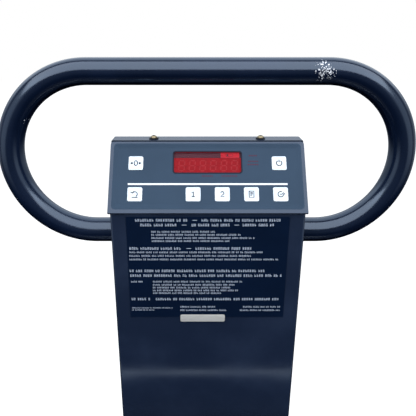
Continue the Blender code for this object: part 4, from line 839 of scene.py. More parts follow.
class SCALE_OT_handle(bpy.types.Operator):
    """Builds the loop handle, its saddles and their bolts"""
    bl_idname = "scale_looks.handle"
    bl_label = "Loop handle"

    def execute(self, context):
        settings = context.scene.scale_handle
        _, tube, tall = extent("handle_loop")
        radius = tube / 2
        bend = tall / 2 - radius
        straight = high("handle_loop")[0] - radius - bend
        turn = np.linspace(-pi / 2, pi / 2, settings.along + 1)
        outward = np.stack([np.cos(turn), np.sin(turn)], -1)
        right = outward * bend + (straight, 0)
        rings = swept(seat(middle("handle_loop"), *FORWARD), np.vstack([right, -right]),
                      circle(radius, settings.around), np.vstack([outward, -outward]))
        Shape().add(rings, along=True).piece("handle_tube", "handle_paint", "handle_loop", "navy_paint")
        wall, flange = 0.003, 0.0075
        places = []
        for name in SIDES:
            node = f"handle_saddle_{name}"
            softened(node, "navy_paint", f"saddle_{name}", edge=0.0005)
            for level in (low(node)[2] + flange, high(node)[2] - flange):
                places.append(seat((middle(node)[0], low(node)[1] + wall, level), *REARWARD))
        make_screws("saddle_bolts", places, SADDLE_BOLT)
        return {"FINISHED"}


class SCALE_OT_handrail(bpy.types.Operator):
    """Builds the stainless handrail with its flanged feet"""
    bl_idname = "scale_looks.handrail"
    bl_label = "Handrail"

    def execute(self, context):
        bend = context.scene.scale_handle.rail_bend
        floor, top = low("handrail")[2], high("handrail")
        radius = extent("handrail")[1] / 2
        half, level = top[0] - radius, top[2] - radius
        line = bent([(half, floor, 0), (half, level, bend), (-half, level, bend), (-half, floor, 0)])
        rings = swept(seat((0, middle("handrail")[1], 0), *FORWARD), line, circle(radius, count=48))
        Shape().add(rings).piece("handrail_tube", "stainless", "handrail")
        places = []
        for name in SIDES:
            places += self.make_flange(name, radius + SEAT)
        make_screws("flange_screws", places, SMALL_SCREW)
        return {"FINISHED"}

    def make_flange(self, name, bore):
        """A round foot with a collar for the rail. It gives the places of its four screws."""
        node = f"handrail_flange_{name}"
        plate, edge, pitch_radius = 0.005, 0.0012, 0.027
        collar = bore + 0.004
        outer, tall = extent(node)[0] / 2, extent(node)[2]
        base = seat((*middle(node)[:2], low(node)[2]), *UPWARD)
        profile = [(0, plate - SEAT), (bore, plate - SEAT), (bore, tall - edge), (bore + edge / 2, tall),
                   (collar - edge, tall), (collar - edge * 0.3, tall - edge * 0.3), (collar, tall - edge),
                   (collar, plate + 2 * edge), (collar + edge * 0.6, plate + edge * 0.6),
                   (collar + 2 * edge, plate), (outer - edge, plate),
                   (outer - edge * 0.3, plate - edge * 0.3), (outer, plate - edge), (outer, 0), (0, 0)]
        turned(f"rail_flange_{name}", node, "stainless", base, profile, count=64)
        return [on_seat(base, x, y, plate) for x, y in circle(pitch_radius, 4, pi / 4)]


# The film's border, which slopes from the bezel's face down to the panel: distance inwards and level
FILM_BORDER = ((-0.0010, 0.00002), (-0.0008, 0.00008), (0.0, 0.0), (0.0010, -0.00020), (0.0025, -0.00062),
               (0.0042, -0.00110), (0.0055, -0.00136), (0.0062, -0.00143), (0.0060, -0.00145),
               (0.0, -0.00145), (0.0, -0.00005))


class SCALE_OT_head(bpy.types.Operator):
    """Builds the head's shell, its bezel and the two screws on top"""
    bl_idname = "scale_looks.head"
    bl_label = "Display head"

    def execute(self, context):
        settings = context.scene.scale_head
        softened("console_housing", "navy_paint", "head_shell", settings.edge, segments=3)
        self.make_bezel(settings.edge)
        bore, thick = 0.0022, 0.0016
        washer = [(bore, 0), (0.0063, 0), (0.0065, 0.0003), (0.0065, 0.0013), (0.0061, thick), (bore, thick)]
        washers = Shape()
        places = []
        for side in (-1, 1):
            spot = on_seat(HEAD_TOP, side * settings.screw_spread, settings.screw_setback)
            washers.add(revolved(spot, washer, count=40), along=True)
            places.append(on_seat(spot, 0, 0, thick))
        make_screws("top_screws", places, TOP_SCREW, "brass_screw")
        washers.piece("top_washers", "black_screw", slot="bright_steel")
        return {"FINISHED"}

    def make_bezel(self, edge):
        """The face's rim, carried from the outer wall over the front to the inner wall, and the film's
        border inside it."""
        outer_low, outer_high = seat_box("console_bezel", FACE)
        inner_low, inner_high = seat_box("keypad_panel", FACE)
        fit = 0.0002
        outer = (outer_low, outer_high, edge, 0.0045)
        inner = (inner_low - fit, inner_high + fit, 0.004, 0.004)
        rim = quarter_turn(edge * 1.2, 5)
        rings = [(outer, 0, -BEZEL_THICKNESS), *((outer, inset, -drop) for inset, drop in rim),
                 *((inner, -inset, -drop) for inset, drop in rim[::-1] * 0.8), (inner, 0, -BEZEL_THICKNESS)]
        self.ringed(rings).piece("head_bezel", "navy_paint", "console_bezel", sharp=50)
        border = [(inner, reach, level) for reach, level in FILM_BORDER]
        self.ringed(border).piece("film_border", "panel_film")

    def ringed(self, rings):
        """A closed ring on the face, from outlines with their inset and level."""
        return Shape().add([raised(FACE, self.outline(*bounds, inset), level)
                            for bounds, inset, level in rings], along=True)

    def outline(self, corner, opposite, lower, upper, inset):
        """A rectangle whose lower and upper corners have a radius of their own."""
        half = (opposite - corner)[:2] / 2
        above, below = (rounded(*half, radius, steps=10, inset=inset) for radius in (upper, lower))
        return np.where(above[:, 1:] > 0, above, below) + (0, (corner[1] + opposite[1]) / 2)


# Legends on the keys: each line is a run of points in millimetres from the key's middle
LEGENDS = {
    "key_power": (arc_line(3.0, 118, 422), [(0, 1.0), (0, 4.2)]),
    "key_zero": (arc_line(1.0, 0, 360, steps=32) * (1.8, 2.8),
                 [(-6.2, 0), (-3.4, 0)], [(-4.7, 1.2), (-3.4, 0), (-4.7, -1.2)],
                 [(6.2, 0), (3.4, 0)], [(4.7, 1.2), (3.4, 0), (4.7, -1.2)]),
    "key_recall": (arc_line(2.8, -60, 150), [(-4.6, 2.6), (-2.4, 1.1), (-1.4, 3.4)],
                   [(-3.2, -3.6), (3.2, -3.6)]),
    "key_pounds": ([(-1.5, 1.7), (0.2, 2.9), (0.2, -2.8)], [(-1.6, -2.8), (2.0, -2.8)]),
    "key_kilograms": ([*arc_line(1.75, 165, -35, (0, 1.2), 14), (-1.9, -2.8), (2.1, -2.8)],),
    "key_print": ([(-2.6, 3.6), (2.6, 3.6), (2.6, -3.6), (-2.6, -3.6), (-2.6, 3.6)],
                  [(-1.4, 1.9), (1.4, 1.9)], [(-1.4, 0.4), (1.4, 0.4)], [(-1.4, -1.1), (0.6, -1.1)]),
    "key_reweigh": (arc_line(3.0, 60, 360), [(1.3, -0.2), (3.0, 1.8), (4.7, -0.2)], [(-1.1, 0), (1.1, 0)]),
}

# Dim marks on the panel: left end, level up the face, width, and how many letter places
DIM_MARKS = (
    (0.0555, 0.0800, 0.0115, 5),
    (0.0545, 0.0718, 0.0140, 6),
    (0.0535, 0.0672, 0.0150, 6),
    (-0.0075, 0.0510, 0.0150, 6),
    (0.0185, 0.0510, 0.0215, 8),
)


class SCALE_OT_keypad(bpy.types.Operator):
    """Builds the keys, their legends and the printing on the keypad panel"""
    bl_idname = "scale_looks.keypad"
    bl_label = "Keypad"

    def execute(self, context):
        settings = context.scene.scale_head
        paint_node("keypad_panel", "panel_film")
        for key in KEYS:
            corner, opposite = seat_box(key, FACE)
            top = on_seat(FACE, *(corner + opposite)[:2] / 2, opposite[2])
            self.make_cap(settings, key, top, *(opposite - corner)[[0, 2]])
            self.make_legend(settings, key, top)
        self.make_print(settings)
        return {"FINISHED"}

    def make_cap(self, settings, key, top, width, depth):
        """A keycap: a rounded square carried up its stem, its flange and its wall, over its rim and into
        its dished top. Each section has its reach, corner radius, inset and level."""
        half, corner, edge = settings.key_size / 2, settings.key_corner, settings.key_edge
        stem, square = 0.003, 0.0003
        flange_top, flange_bottom = -0.0023, -0.0033
        sections = [(stem, square, 0, -depth), (stem, square, 0, flange_bottom),
                    (width / 2, square, 0, flange_bottom), (width / 2, square, 0, flange_top),
                    (half, corner, 0, flange_top)]
        sections += [(half, corner, inset, -drop) for inset, drop in quarter_turn(edge, 5)]
        sections += [(half, corner, edge + reach, -settings.key_dish * fall)
                     for reach, fall in ((0.0012, 0.35), (0.0024, 0.8), (0.005, 1.0))]
        shape = Shape().add([raised(top, rounded(reach, reach, radius, inset=inset), level)
                             for reach, radius, inset, level in sections])
        shape.piece(f"{key}_cap", "key_white", key, body=key, sharp=50)

    def make_legend(self, settings, key, top):
        """A generic sign or a plain numeral in place of the key's words."""
        shape = Shape()
        for line in LEGENDS[key]:
            stroke = np.asarray(line, float) * MILLIMETRE * settings.legend
            shape.add(ribbon(top, stroke, settings.stroke, -settings.key_dish, settings.ink))
        shape.piece(f"{key}_legend", "legend_ink", body=key)

    def make_print(self, settings):
        """The white line across the panel and the dim marks beside the window."""
        front = seat_box("keypad_panel", FACE)[1][2]
        top = front + settings.ink
        half = middle("key_power")[0] + settings.key_size / 2
        line = slab(FACE, half, settings.line_height / 2, corner=0.0002, bottom=front, top=top,
                    edge=0.00002, centre=(0, settings.line_level), steps=2)
        Shape().add(line).piece("panel_line", "white_ink")
        marks = Shape()
        height, fill = 0.0017, 0.72
        for x, level, width, letters in DIM_MARKS:
            pitch = width / letters
            for index in range(letters):
                marks.add(patch(FACE, x + index * pitch, level, pitch * fill, height, front, top))
        marks.piece("panel_marks", "red_ink")


class SCALE_OT_display(bpy.types.Operator):
    """Builds the red window, the digits behind it and the battery mark"""
    bl_idname = "scale_looks.display"
    bl_label = "Display"

    def execute(self, context):
        settings = context.scene.scale_head
        corner, opposite = seat_box("display_lens", FACE)
        half, centre = (opposite - corner)[:2] / 2, (opposite + corner)[:2] / 2
        window = slab(FACE, *half, corner=0.0023, bottom=corner[2], top=opposite[2], edge=0.0003,
                      centre=centre, steps=8)
        Shape().add(window).piece("display_window", "red_filter", "display_lens")
        # The module behind the filter glows: painted light for the light that falls on it through the filter
        paint_node("display_module", "display_field")
        behind = seat_box("display_module", FACE)[1][2]
        front = behind + settings.ink
        band = 2 * half[1] * settings.band
        upper = opposite[1] - band
        dark = patch(FACE, corner[0], upper, 2 * half[0], band, behind, front)
        Shape().add(dark).piece("display_band", "display_band")
        self.make_digits(settings, corner, upper, 2 * half[0], behind)
        self.make_mark(settings.ink, upper, band, front)
        self.make_rim(half, centre)
        return {"FINISHED"}

    def make_rim(self, half, centre):
        """A dark flat ring round the window between two rounded rectangles, painted shadow of the window's
        recess. It also rounds the corners of the opening behind it."""
        thick = 0.00008
        bottom = seat_box("keypad_panel", FACE)[1][2]
        top = bottom + thick
        inner, outer = (rounded(*(half + reach), radius, steps=8) + centre
                        for reach, radius in ((-0.0004, 0.0026), (0.0014, 0.0040)))
        rings = ((inner, bottom), (inner, top), (outer, top), (outer, bottom))
        shape = Shape().add([raised(FACE, outline, level) for outline, level in rings], along=True)
        shape.piece("window_rim", "rim_ink")

    def make_digits(self, settings, corner, upper, width, behind):
        """Unlit seven-segment digits with a faint glow of painted light: seven short bars each, leaning a
        little to the right.
        """
        shape = Shape()
        room = upper - corner[1]
        pitch = width / (settings.digits + 0.4)
        wide, tall = pitch * 0.52, room * 0.66
        floor = corner[1] + (room - tall) / 2
        stroke, lean = 0.0016, 0.09
        gap = stroke * 0.6
        bars = [((gap, level), (wide - gap, level)) for level in (0, tall / 2, tall)]
        bars += [((x, start + gap), (x, start + tall / 2 - gap)) for x in (0, wide)
                 for start in (0, tall / 2)]
        for index in range(settings.digits):
            left = corner[0] + pitch * (index + 0.45)
            for bar in bars:
                line = [(left + x + y * lean, floor + y) for x, y in bar]
                shape.add(ribbon(FACE, line, stroke, behind, behind + settings.ink))
        shape.piece("display_digits", "display_digit")

    def make_mark(self, ink, upper, band, behind):
        """The battery flag at the window's upper right, a brighter glowing patch of painted light, with a
        plain battery outline on it.
        """
        left, width, top = 0.0180, 0.0250, behind + ink
        flag = patch(FACE, left, upper + band * 0.04, width, band * 0.92, behind, top)
        Shape().add(flag).piece("battery_flag", "display_mark")
        x, y = left + width * 0.28, upper + band * 0.28
        long, tall = width * 0.36, band * 0.46
        stroke, nub = 0.0005, 0.0008
        outline = [(x, y), (x + long, y), (x + long, y + tall), (x, y + tall), (x, y)]
        sign = Shape().add(ribbon(FACE, outline, stroke, top, top + ink))
        for block in ((x + long, y + tall * 0.3, nub, tall * 0.4),
                      (x + long * 0.12, y + tall * 0.2, long * 0.25, tall * 0.6)):
            sign.add(patch(FACE, *block, top, top + ink))
        sign.piece("battery_sign", "display_band")


# The label's rows: drop below the mast's top, letter height, and the spans that are printed, in millimetres
LABEL_ROWS = (
    (8.4, "large", [(-94.9, -26.0), (-20.0, -14.0), (-8.0, 95.8)]),
    (15.1, "large", [(-88.4, -41.0), (-34.0, -28.0), (-21.0, 29.0), (35.0, 41.0), (46.0, 89.6)]),
    (24.6, "small", [(-74.1, 11.6)]),
    (29.0, "small", [(-74.3, 44.4)]),
    (33.6, "small", [(-74.5, 62.2)]),
    (38.0, "small", [(-73.9, 29.2)]),
    (48.8, "large", [(-104.2, -34.6), (-28.1, -21.9), (-15.9, 60.7)]),
    (54.4, "small", [(-104.5, 76.5)]),
    (59.7, "small", [(-104.8, 61.7)]),
    (65.0, "small", [(-104.6, 96.9)]),
    (82.2, "large", [(-105.3, 80.2)]),
    (89.4, "large", [(-104.9, 104.5)]),
    (98.7, "small", [(-104.1, -86.6), (-74.2, 48.8)]),
    (103.5, "small", [(-74.4, 39.3)]),
    (107.9, "small", [(-74.6, 35.3)]),
    (112.3, "small", [(-74.7, 45.5)]),
    (116.5, "small", [(-74.5, 20.4)]),
    (126.0, "large", [(-104.6, -77.0), (-71.0, 102.0)]),
    (138.3, "small", [(-37.1, 13.0), (50.7, 102.6)]),
    (143.7, "small", [(-37.2, 30.0), (46.2, 102.9)]),
    (140.0, "tiny", [(-104.6, -47.3)]),
    (143.4, "tiny", [(-104.9, -72.2)]),
)


class SCALE_OT_label(bpy.types.Operator):
    """Prints the label on the mast with plain blocks in place of words"""
    bl_idname = "scale_looks.label"
    bl_label = "Label"

    def execute(self, context):
        settings = context.scene.scale_label
        paint_node("instruction_panel", "sign_film")
        corner, opposite = seat_box("serial_plate", MAST_FRONT)
        plate = slab(MAST_FRONT, *(opposite - corner)[:2] / 2, settings.plate_corner, bottom=corner[2],
                     top=opposite[2], edge=0.0002, centre=(opposite + corner)[:2] / 2, steps=8)
        Shape().add(plate).piece("blank_plate", "plate_alloy", "serial_plate")
        front = seat_box("instruction_panel", MAST_FRONT)[1][2]
        chance = np.random.default_rng(7)
        shape = Shape()
        for drop, weight, spans in LABEL_ROWS:
            for span in spans:
                start, end = np.array(span) * MILLIMETRE
                for block in self.words(chance, -drop * MILLIMETRE, start, end, getattr(settings, weight)):
                    shape.add(patch(MAST_FRONT, *block, front, front + settings.ink))
        shape.piece("label_print", "label_ink")
        return {"FINISHED"}

    def words(self, chance, level, start, end, tall):
        """Fills a span with greeked words: in place of each letter stand two stems and a bar. A span too
        short for a word holds a dash."""
        letter, stroke = tall * 0.84, tall * 0.165
        if end - start < 2 * letter:
            yield start, level - stroke / 2, end - start, stroke
            return
        x, floor = start, level - tall / 2
        while x < end - letter / 2:
            for _ in range(chance.integers(2, 9)):
                if x + letter * 0.7 > end:
                    break
                width = letter * chance.uniform(0.50, 0.72)
                bar = floor + chance.choice([0.0, 0.42, 0.83]) * tall
                short = chance.choice([1.0, 0.62]) * tall
                yield x, floor, stroke, tall
                yield x + width - stroke, floor, stroke, short
                yield x, bar, width, stroke
                x += letter
            x += letter * 0.75


class SCALE_OT_mast(bpy.types.Operator):
    """Builds the mast's folded sheet, its rear cover, its foot and their screws"""
    bl_idname = "scale_looks.mast"
    bl_label = "Mast"

    def execute(self, context):
        self.make_sheet()
        softened("mast_rear_cover", "navy_paint", "rear_cover", edge=0.0004)
        softened("mast_foot", "navy_paint", "foot_socket", edge=0.0008)
        self.add_cover_screws()
        self.add_foot_bolts()
        return {"FINISHED"}

    def add_cover_screws(self):
        """Two columns of screws that hold the rear cover."""
        bottom, (side, rear, _) = low("mast_rear_cover")[2], high("mast_rear_cover")
        margin, lowest, highest = 0.009, bottom + 0.020, HEAD_Z - 0.095
        places = [seat((x, rear, level), *REARWARD) for x in (margin - side, side - margin)
                  for level in np.linspace(lowest, highest, 5)]
        make_screws("cover_screws", places, SMALL_SCREW, "black_screw")

    def add_foot_bolts(self):
        """A bolt near each corner of the foot's base plate."""
        (left, front, bottom), (right, rear, _) = low("mast_foot"), high("mast_foot")
        plate, side_margin, front_margin, rear_margin = 0.006, 0.0125, 0.016, 0.020
        places = [seat((x, y, bottom + plate), *UPWARD) for x in (left + side_margin, right - side_margin)
                  for y in (front + front_margin, rear - rear_margin)]
        make_screws("foot_bolts", places, FOOT_BOLT, kind=hexagon_head)

    def make_sheet(self):
        """The folded channel: the sheet's section, a tall thin slot, carried round its plan."""
        wall = 0.002
        fold = 0.0035 - wall / 2
        half, rear = high("mast_shell")[:2] - wall / 2
        front = low("mast_shell")[1] + wall / 2
        lap = half - 0.019
        line = bent([(-lap, rear, 0), (-half, rear, fold), (-half, front, fold), (half, front, fold),
                     (half, rear, fold), (lap, rear, 0)])
        section = rounded(wall / 2, extent("mast_shell")[2] / 2, corner=0.0003, steps=3)
        rings = swept(seat((0, 0, middle("mast_shell")[2]), *UPWARD), line, section)
        Shape().add(rings).piece("mast_sheet", "navy_paint", "mast_shell", sharp=50)


def left_end(node):
    """A seat on the left end of a round piece that lies across the scale, facing along its axis."""
    return seat((low(node)[0], *middle(node)[1:]), *RIGHTWARD)


class SCALE_OT_batteries(bpy.types.Operator):
    """Builds the battery bay: cells, tray, door and pin"""
    bl_idname = "scale_looks.batteries"
    bl_label = "Battery bay"

    def execute(self, context):
        softened("battery_tray", "black_moulding", "cell_tray", edge=0.0002)
        softened("battery_door", "navy_paint", "bay_door", edge=0.0004)
        for number in range(1, 7):
            self.make_cell(number)
        pin = "battery_door_pin"
        length, radius = extent(pin)[0], extent(pin)[2] / 2
        edge = radius * 0.3
        profile = both_ends([(0, 0), (radius - edge, 0), (radius, edge)], length)
        turned("door_pin", pin, "bright_steel", left_end(pin), profile, count=24)
        return {"FINISHED"}

    def make_cell(self, number):
        """A D-size cell: jacket rolled over at each end, a raised cap at the positive end."""
        node = f"battery_{number}"
        length, radius = extent(node)[0], extent(node)[1] / 2
        heading = self.heading(node)
        start = (low(node) if heading > 0 else high(node))[0]
        base = seat((start, *middle(node)[1:]), (0, heading, 0), (0, 0, 1))
        cap, cap_height, roll, dip = 0.0047, 0.0015, 0.0008, 0.0004
        case = length - cap_height
        profile = [(0, 0.0003), (radius * 0.55, 0.0003), (radius * 0.6, 0), (radius - roll, 0),
                   (radius - roll * 0.3, roll * 0.3), (radius, roll), (radius, case - roll),
                   (radius - roll * 0.3, case - roll * 0.3), (radius - roll, case),
                   (radius - 2 * roll, case - dip), (cap + 0.0008, case - dip), (cap, case),
                   (cap, length - dip), (cap - dip, length), (0, length)]
        turned(f"cell_{number}", node, "cell_jacket", base, profile, count=56)

    def heading(self, node):
        """1 where a cell's capped end, which is the narrower one, lies at the right, and -1 at the left."""
        points = vertices(node)
        along = points[:, 0]
        left, right = (np.ptp(points[np.abs(along - end) < MERGE * 10, 2])
                       for end in (along.min(), along.max()))
        return 1 if right < left else -1


class SCALE_OT_platform(bpy.types.Operator):
    """Builds the platform, its mat, the floor frame, the feet and the load cells"""
    bl_idname = "scale_looks.platform"
    bl_label = "Platform"

    def execute(self, context):
        settings = context.scene.scale_platform
        softened("platform_deck", "deck_paint", "deck_pan", settings.soft_edge)
        softened("base_frame", "frame_paint", "floor_frame", settings.soft_edge)
        self.make_tongue(settings.soft_edge)
        self.make_mat(settings)
        places = []
        for end in ("front", "rear"):
            for name in SIDES:
                self.make_foot(f"foot_{end}_{name}")
                cell = f"load_cell_{end}_{name}"
                softened(cell, "bare_alloy", f"beam_cell_{end}_{name}", edge=0.0003)
                places += self.cell_bolts(cell, end)
        make_screws("cell_bolts", places, CELL_BOLT, "black_screw")
        return {"FINISHED"}

    def cell_bolts(self, cell, end):
        """The places of the two cap screws in a cell's fixed end, which lies lower than its boss."""
        boss, reaches = 0.005, (0.011, 0.032)
        fixed, away = (high(cell)[1], -1) if end == "front" else (low(cell)[1], 1)
        return [seat((middle(cell)[0], fixed + away * reach, high(cell)[2] - boss), *UPWARD)
                for reach in reaches]

    def make_tongue(self, edge):
        """The tongue that carries the mast, with the bolts that hold its lap on the frame's rear rail."""
        softened("mast_tongue", "frame_paint", "tongue", edge)
        inset, plate, spread = 0.018, 0.004, 0.125
        row, level = low("mast_tongue")[1] + inset, high("base_frame")[2] + SEAT + plate
        places = [seat((x, row, level), *UPWARD) for x in np.linspace(-spread, spread, 4)]
        make_screws("tongue_bolts", places, LAP_BOLT, kind=hexagon_head)

    def make_foot(self, node):
        """A rubber foot, with a groove in its sole."""
        radius, height = extent(node)[0] / 2, extent(node)[2]
        base = seat((*middle(node)[:2], low(node)[2]), *UPWARD)
        profile = [(0, 0), (radius * 0.80, 0), (radius * 0.83, 0.0006), (radius * 0.87, 0.0006),
                   (radius * 0.92, 0), (radius * 0.97, 0.0008), (radius, height * 0.3),
                   (radius * 0.86, height * 0.86), (radius * 0.83, height * 0.97), (radius * 0.80, height),
                   (0, height)]
        turned(f"pad_{node}", node, "rubber", base, profile, count=48, sharp=50)

    def make_mat(self, settings):
        """The mat's section across X, a row of round-topped ribs, carried along Y, with cut ends."""
        corner, opposite = low("platform_mat"), high("platform_mat")
        steps = 8
        phase = np.arange(settings.ribs * steps + 1) / steps
        lift = np.clip(np.sin((phase % 1.0) * pi) * 1.6, 0, 1)
        top = np.stack([corner[0] + phase * (opposite[0] - corner[0]) / settings.ribs,
                        opposite[2] - settings.rib_height * (1 - lift)], -1)
        section = np.vstack([top, [(opposite[0], corner[2]), (corner[0], corner[2])]])
        rings = [raised(seat((0, 0, 0), *FORWARD), section, -y) for y in (corner[1], opposite[1])]
        Shape().add(rings).piece("ribbed_mat", "rubber_mat", "platform_mat", sharp=60)


class SCALE_OT_ramps(bpy.types.Operator):
    """Builds both ramps with their grip strips and hinge pins"""
    bl_idname = "scale_looks.ramps"
    bl_label = "Ramps"

    def execute(self, context):
        edge = context.scene.scale_platform.soft_edge
        for name in SIDES:
            ramp = f"ramp_{name}"
            softened(ramp, "ramp_paint", f"ramp_plate_{name}", edge)
            for number in (1, 2, 3):
                softened(f"{ramp}_tread_{number}", "grip_strip", f"grip_{name}_{number}", edge=0.0003)
            self.make_pin(name, f"{ramp}_pin")
        return {"FINISHED"}

    def make_pin(self, name, node):
        """A hinge pin with a domed head at each end."""
        end = domed_end(extent(node)[2] / 2, thick=0.0027, shank=0.004, bulge=0.6, steps=7)
        base = seat((middle(node)[0], high(node)[1], middle(node)[2]), *FORWARD)
        profile = both_ends(end, extent(node)[1])
        turned(f"hinge_pin_{name}", node, "bright_steel", base, profile, count=28)


class SCALE_OT_wheels(bpy.types.Operator):
    """Builds the transport wheels and their axle"""
    bl_idname = "scale_looks.wheels"
    bl_label = "Wheels"

    def execute(self, context):
        settings = context.scene.scale_wheels
        for name in SIDES:
            self.make_tyre(settings, name)
            self.make_hub(settings, name)
        axle = "wheel_axle"
        end = domed_end(extent(axle)[2] / 2, thick=0.004, shank=0.006, bulge=0.8, steps=9)
        profile = both_ends(end, extent(axle)[0])
        turned("axle_bar", axle, "bright_steel", left_end(axle), profile, count=40)
        return {"FINISHED"}

    def make_tyre(self, settings, name):
        """A tyre's section, round-shouldered with grooves in its tread, turned about the axle."""
        node = f"wheel_{name}_tyre"
        width, _, tall = extent(node)
        inner = extent(f"wheel_{name}_hub")[2] / 2 + SEAT
        shoulder = 0.009
        across = np.linspace(0, 1, 97) * width
        inwards = np.clip(shoulder - np.minimum(across, width - across), 0, shoulder)
        drop = shoulder - np.sqrt(shoulder ** 2 - inwards ** 2)
        flat = (across - shoulder) / (width - 2 * shoulder)
        wave = 0.5 - np.cos(flat * settings.grooves * 2 * pi) * 0.5
        groove = np.where((flat > 0) & (flat < 1), np.clip(wave * 3 - 2, 0, 1), 0) * settings.groove_depth
        tread = np.stack([tall / 2 - drop - groove, across], -1)
        rings = revolved(left_end(node), [(inner, 0), *tread, (inner, width)], settings.around)
        shape = Shape().add(rings, along=True)
        shape.piece(f"tyre_{name}", "tyre_rubber", node, body=f"wheel_{name}", sharp=60)

    def make_hub(self, settings, name):
        """A moulded hub: boss, web and rim turned about the axle, with radial ribs on the web."""
        node = f"wheel_{name}_hub"
        half, rim = extent(node)[0] / 2, extent(node)[2] / 2
        base = on_seat(left_end(node), 0, 0, half)
        bore, boss, web, lip, soft = 0.0063, 0.014, 0.004, 0.004, 0.0008
        well, brim = rim - lip, half - lip
        side = [(bore, half), (boss - soft, half), (boss, half - soft), (boss, web + soft),
                (boss + soft, web), (well - soft, web), (well, web + soft), (well, brim - soft),
                (well + soft, brim), (rim - soft, brim), (rim, brim - soft)]
        profile = [*side, *((radius, -level) for radius, level in side[::-1])]
        shape = Shape().add(revolved(base, profile, settings.around), along=True)
        tip, thick = brim - lip, 0.0024
        for turn in np.arange(settings.ribs) * 2 * pi / settings.ribs:
            for face in (-1, 1):
                spoke = seat(base.origin, base.across * cos(turn) + base.up * sin(turn), base.out * face)
                shape.add(slab(spoke, (well - boss) / 2 + soft, (tip - web) / 2 + soft, corner=0.0004,
                               bottom=-thick / 2, top=thick / 2, edge=0.0003,
                               centre=((boss + well) / 2, (web + tip) / 2), steps=2))
        shape.piece(f"hub_{name}", "grey_moulding", node, body=f"wheel_{name}")


class SCALE_OT_inside(bpy.types.Operator):
    """Finishes the circuit board inside the head"""
    bl_idname = "scale_looks.inside"
    bl_label = "Inside of the head"

    def execute(self, context):
        paint_node("circuit_board", "board_laminate")
        return {"FINISHED"}


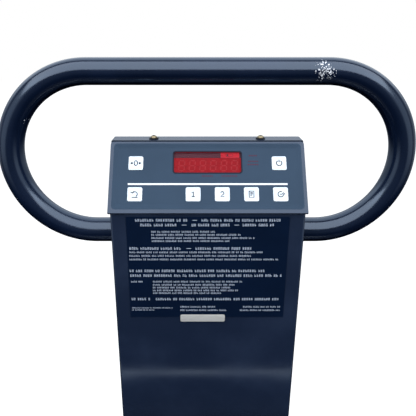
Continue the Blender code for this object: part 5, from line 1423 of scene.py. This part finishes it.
class SCALE_OT_stage(bpy.types.Operator):
    """Builds the floor, the lights, the backdrop and the camera"""
    bl_idname = "scale_looks.stage"
    bl_label = "Stage"

    def execute(self, context):
        settings = context.scene.scale_stage
        self.make_floor()
        self.make_backdrop(context, settings)
        self.make_softbox(settings)
        self.make_camera(context, settings)
        return {"FINISHED"}

    def make_floor(self):
        """A wide pale disc that is lit evenly, with soft contact shadows. It has no face on its underside."""
        level, reaches = -0.0004, (0.4, 1.5, 4.0, 14.0)
        ground = seat((0, 0, level), *UPWARD)
        shape = Shape().add([raised(ground, circle(reach, count=96), 0) for reach in reaches])
        mesh = bpy.data.meshes.new("floor")
        mesh.from_pydata(np.vstack(shape.points).tolist(), [], shape.faces[:-1])
        recipe = Recipe("floor_white", Roughness=1.0, Specular_IOR_Level=0.0, Emission_Strength=0.95,
                        Base_Color=(0.25, 0.25, 0.25, 1), Emission_Color=(1, 1, 1, 1))
        mesh.materials.append(recipe.material)
        floor = linked("floor", mesh)
        floor.visible_glossy = False
        floor.visible_diffuse = False

    def make_backdrop(self, context, settings):
        """White to the camera. For the light it gives, it is bright overhead behind the scale, dimmer
        round the horizon and at both front corners, dim in front and dark below."""
        context.scene.view_settings.view_transform = "Standard"
        context.scene.world = bpy.data.worlds.new("backdrop")
        sky = Tree(context.scene.world)
        heading = sky.node("ShaderNodeTexCoord", output="Generated")
        right, back, up = (sky.axis(heading, index) for index in range(3))
        overhead = back.ramp(0.14, 0.34) * up.ramp(0.10, 0.50) * settings.backdrop
        level = back.ramp(-0.20, 0.30) * up.ramp(0.60, 0.30) * settings.room_rear + settings.room_front
        corners = abs(right).ramp(0.42, 0.66) * back.ramp(-0.10, -0.35) * up.ramp(0.75, 0.45)
        given = overhead + (level + corners * settings.room_sides) * up.ramp(-0.50, -0.10)
        camera = sky.node("ShaderNodeLightPath", output="Is Camera Ray")
        shown = {"Strength": given.most(camera), "Color": sky.mix(camera, (0.80, 0.89, 1.0), (1, 1, 1))}
        for name, value in shown.items():
            sky.tree.links.new(value.socket, sky.tree.nodes["Background"].inputs[name])

    def make_softbox(self, settings):
        """One large sheet of light, leaning over the scale from the front. It isn't seen itself."""
        front = np.array([-settings.softbox_front, settings.softbox_low])
        rear = np.array([settings.softbox_rear, settings.softbox_high])
        run = rear - front
        light = bpy.data.lights.new("softbox", "AREA")
        light.shape = "RECTANGLE"
        light.size = settings.softbox_width
        light.size_y = np.hypot(*run)
        light.energy = settings.softbox * light.size * light.size_y * pi
        light.color = (0.96, 0.98, 1.04)
        lamp = linked("softbox", light)
        lamp.location = (0, *(front + rear) / 2)
        lamp.rotation_euler = (np.arctan2(run[1], run[0]), 0, 0)
        lamp.visible_camera = False

    def make_camera(self, context, settings):
        """A camera in front of the mast, a little above the head and looking down on it."""
        camera = bpy.data.cameras.new("camera")
        camera.lens = settings.lens
        camera.sensor_width = 36.0
        camera.shift_x = settings.shift
        holder = linked("camera", camera)
        holder.location = (settings.camera_side, MAST_FRONT.origin[1] - settings.camera_back,
                           HEAD_Z + settings.camera_rise)
        holder.rotation_euler = (pi / 2 - settings.pitch, 0, 0)
        context.scene.camera = holder


OPERATORS = (
    SCALE_OT_handle, SCALE_OT_handrail, SCALE_OT_head, SCALE_OT_keypad, SCALE_OT_display, SCALE_OT_label,
    SCALE_OT_mast, SCALE_OT_batteries, SCALE_OT_platform, SCALE_OT_ramps, SCALE_OT_wheels, SCALE_OT_inside,
    SCALE_OT_stage,
)


class SCALE_PT_looks(bpy.types.Panel):
    """Lists the pieces and their sizes in the sidebar"""
    bl_idname = "SCALE_PT_looks"
    bl_label = "Wheelchair scale"
    bl_space_type = "VIEW_3D"
    bl_region_type = "UI"
    bl_category = "Scale"

    def draw(self, context):
        layout = self.layout
        for operator in OPERATORS:
            layout.operator(operator.bl_idname)
        for group, kind in GROUPS.items():
            box = layout.box()
            box.label(text=group.replace("_", " ").capitalize())
            for field in kind.__annotations__:
                box.prop(getattr(context.scene, group), field)


def register():
    for kind in (*GROUPS.values(), *OPERATORS, SCALE_PT_looks):
        bpy.utils.register_class(kind)
    for group, kind in GROUPS.items():
        setattr(bpy.types.Scene, group, PointerProperty(type=kind))


def unregister():
    for group in GROUPS:
        delattr(bpy.types.Scene, group)
    for kind in (SCALE_PT_looks, *OPERATORS[::-1], *list(GROUPS.values())[::-1]):
        bpy.utils.unregister_class(kind)


def main():
    register()
    for operator in OPERATORS:
        group, name = operator.bl_idname.split(".")
        getattr(getattr(bpy.ops, group), name)()


if __name__ == "__main__":
    main()
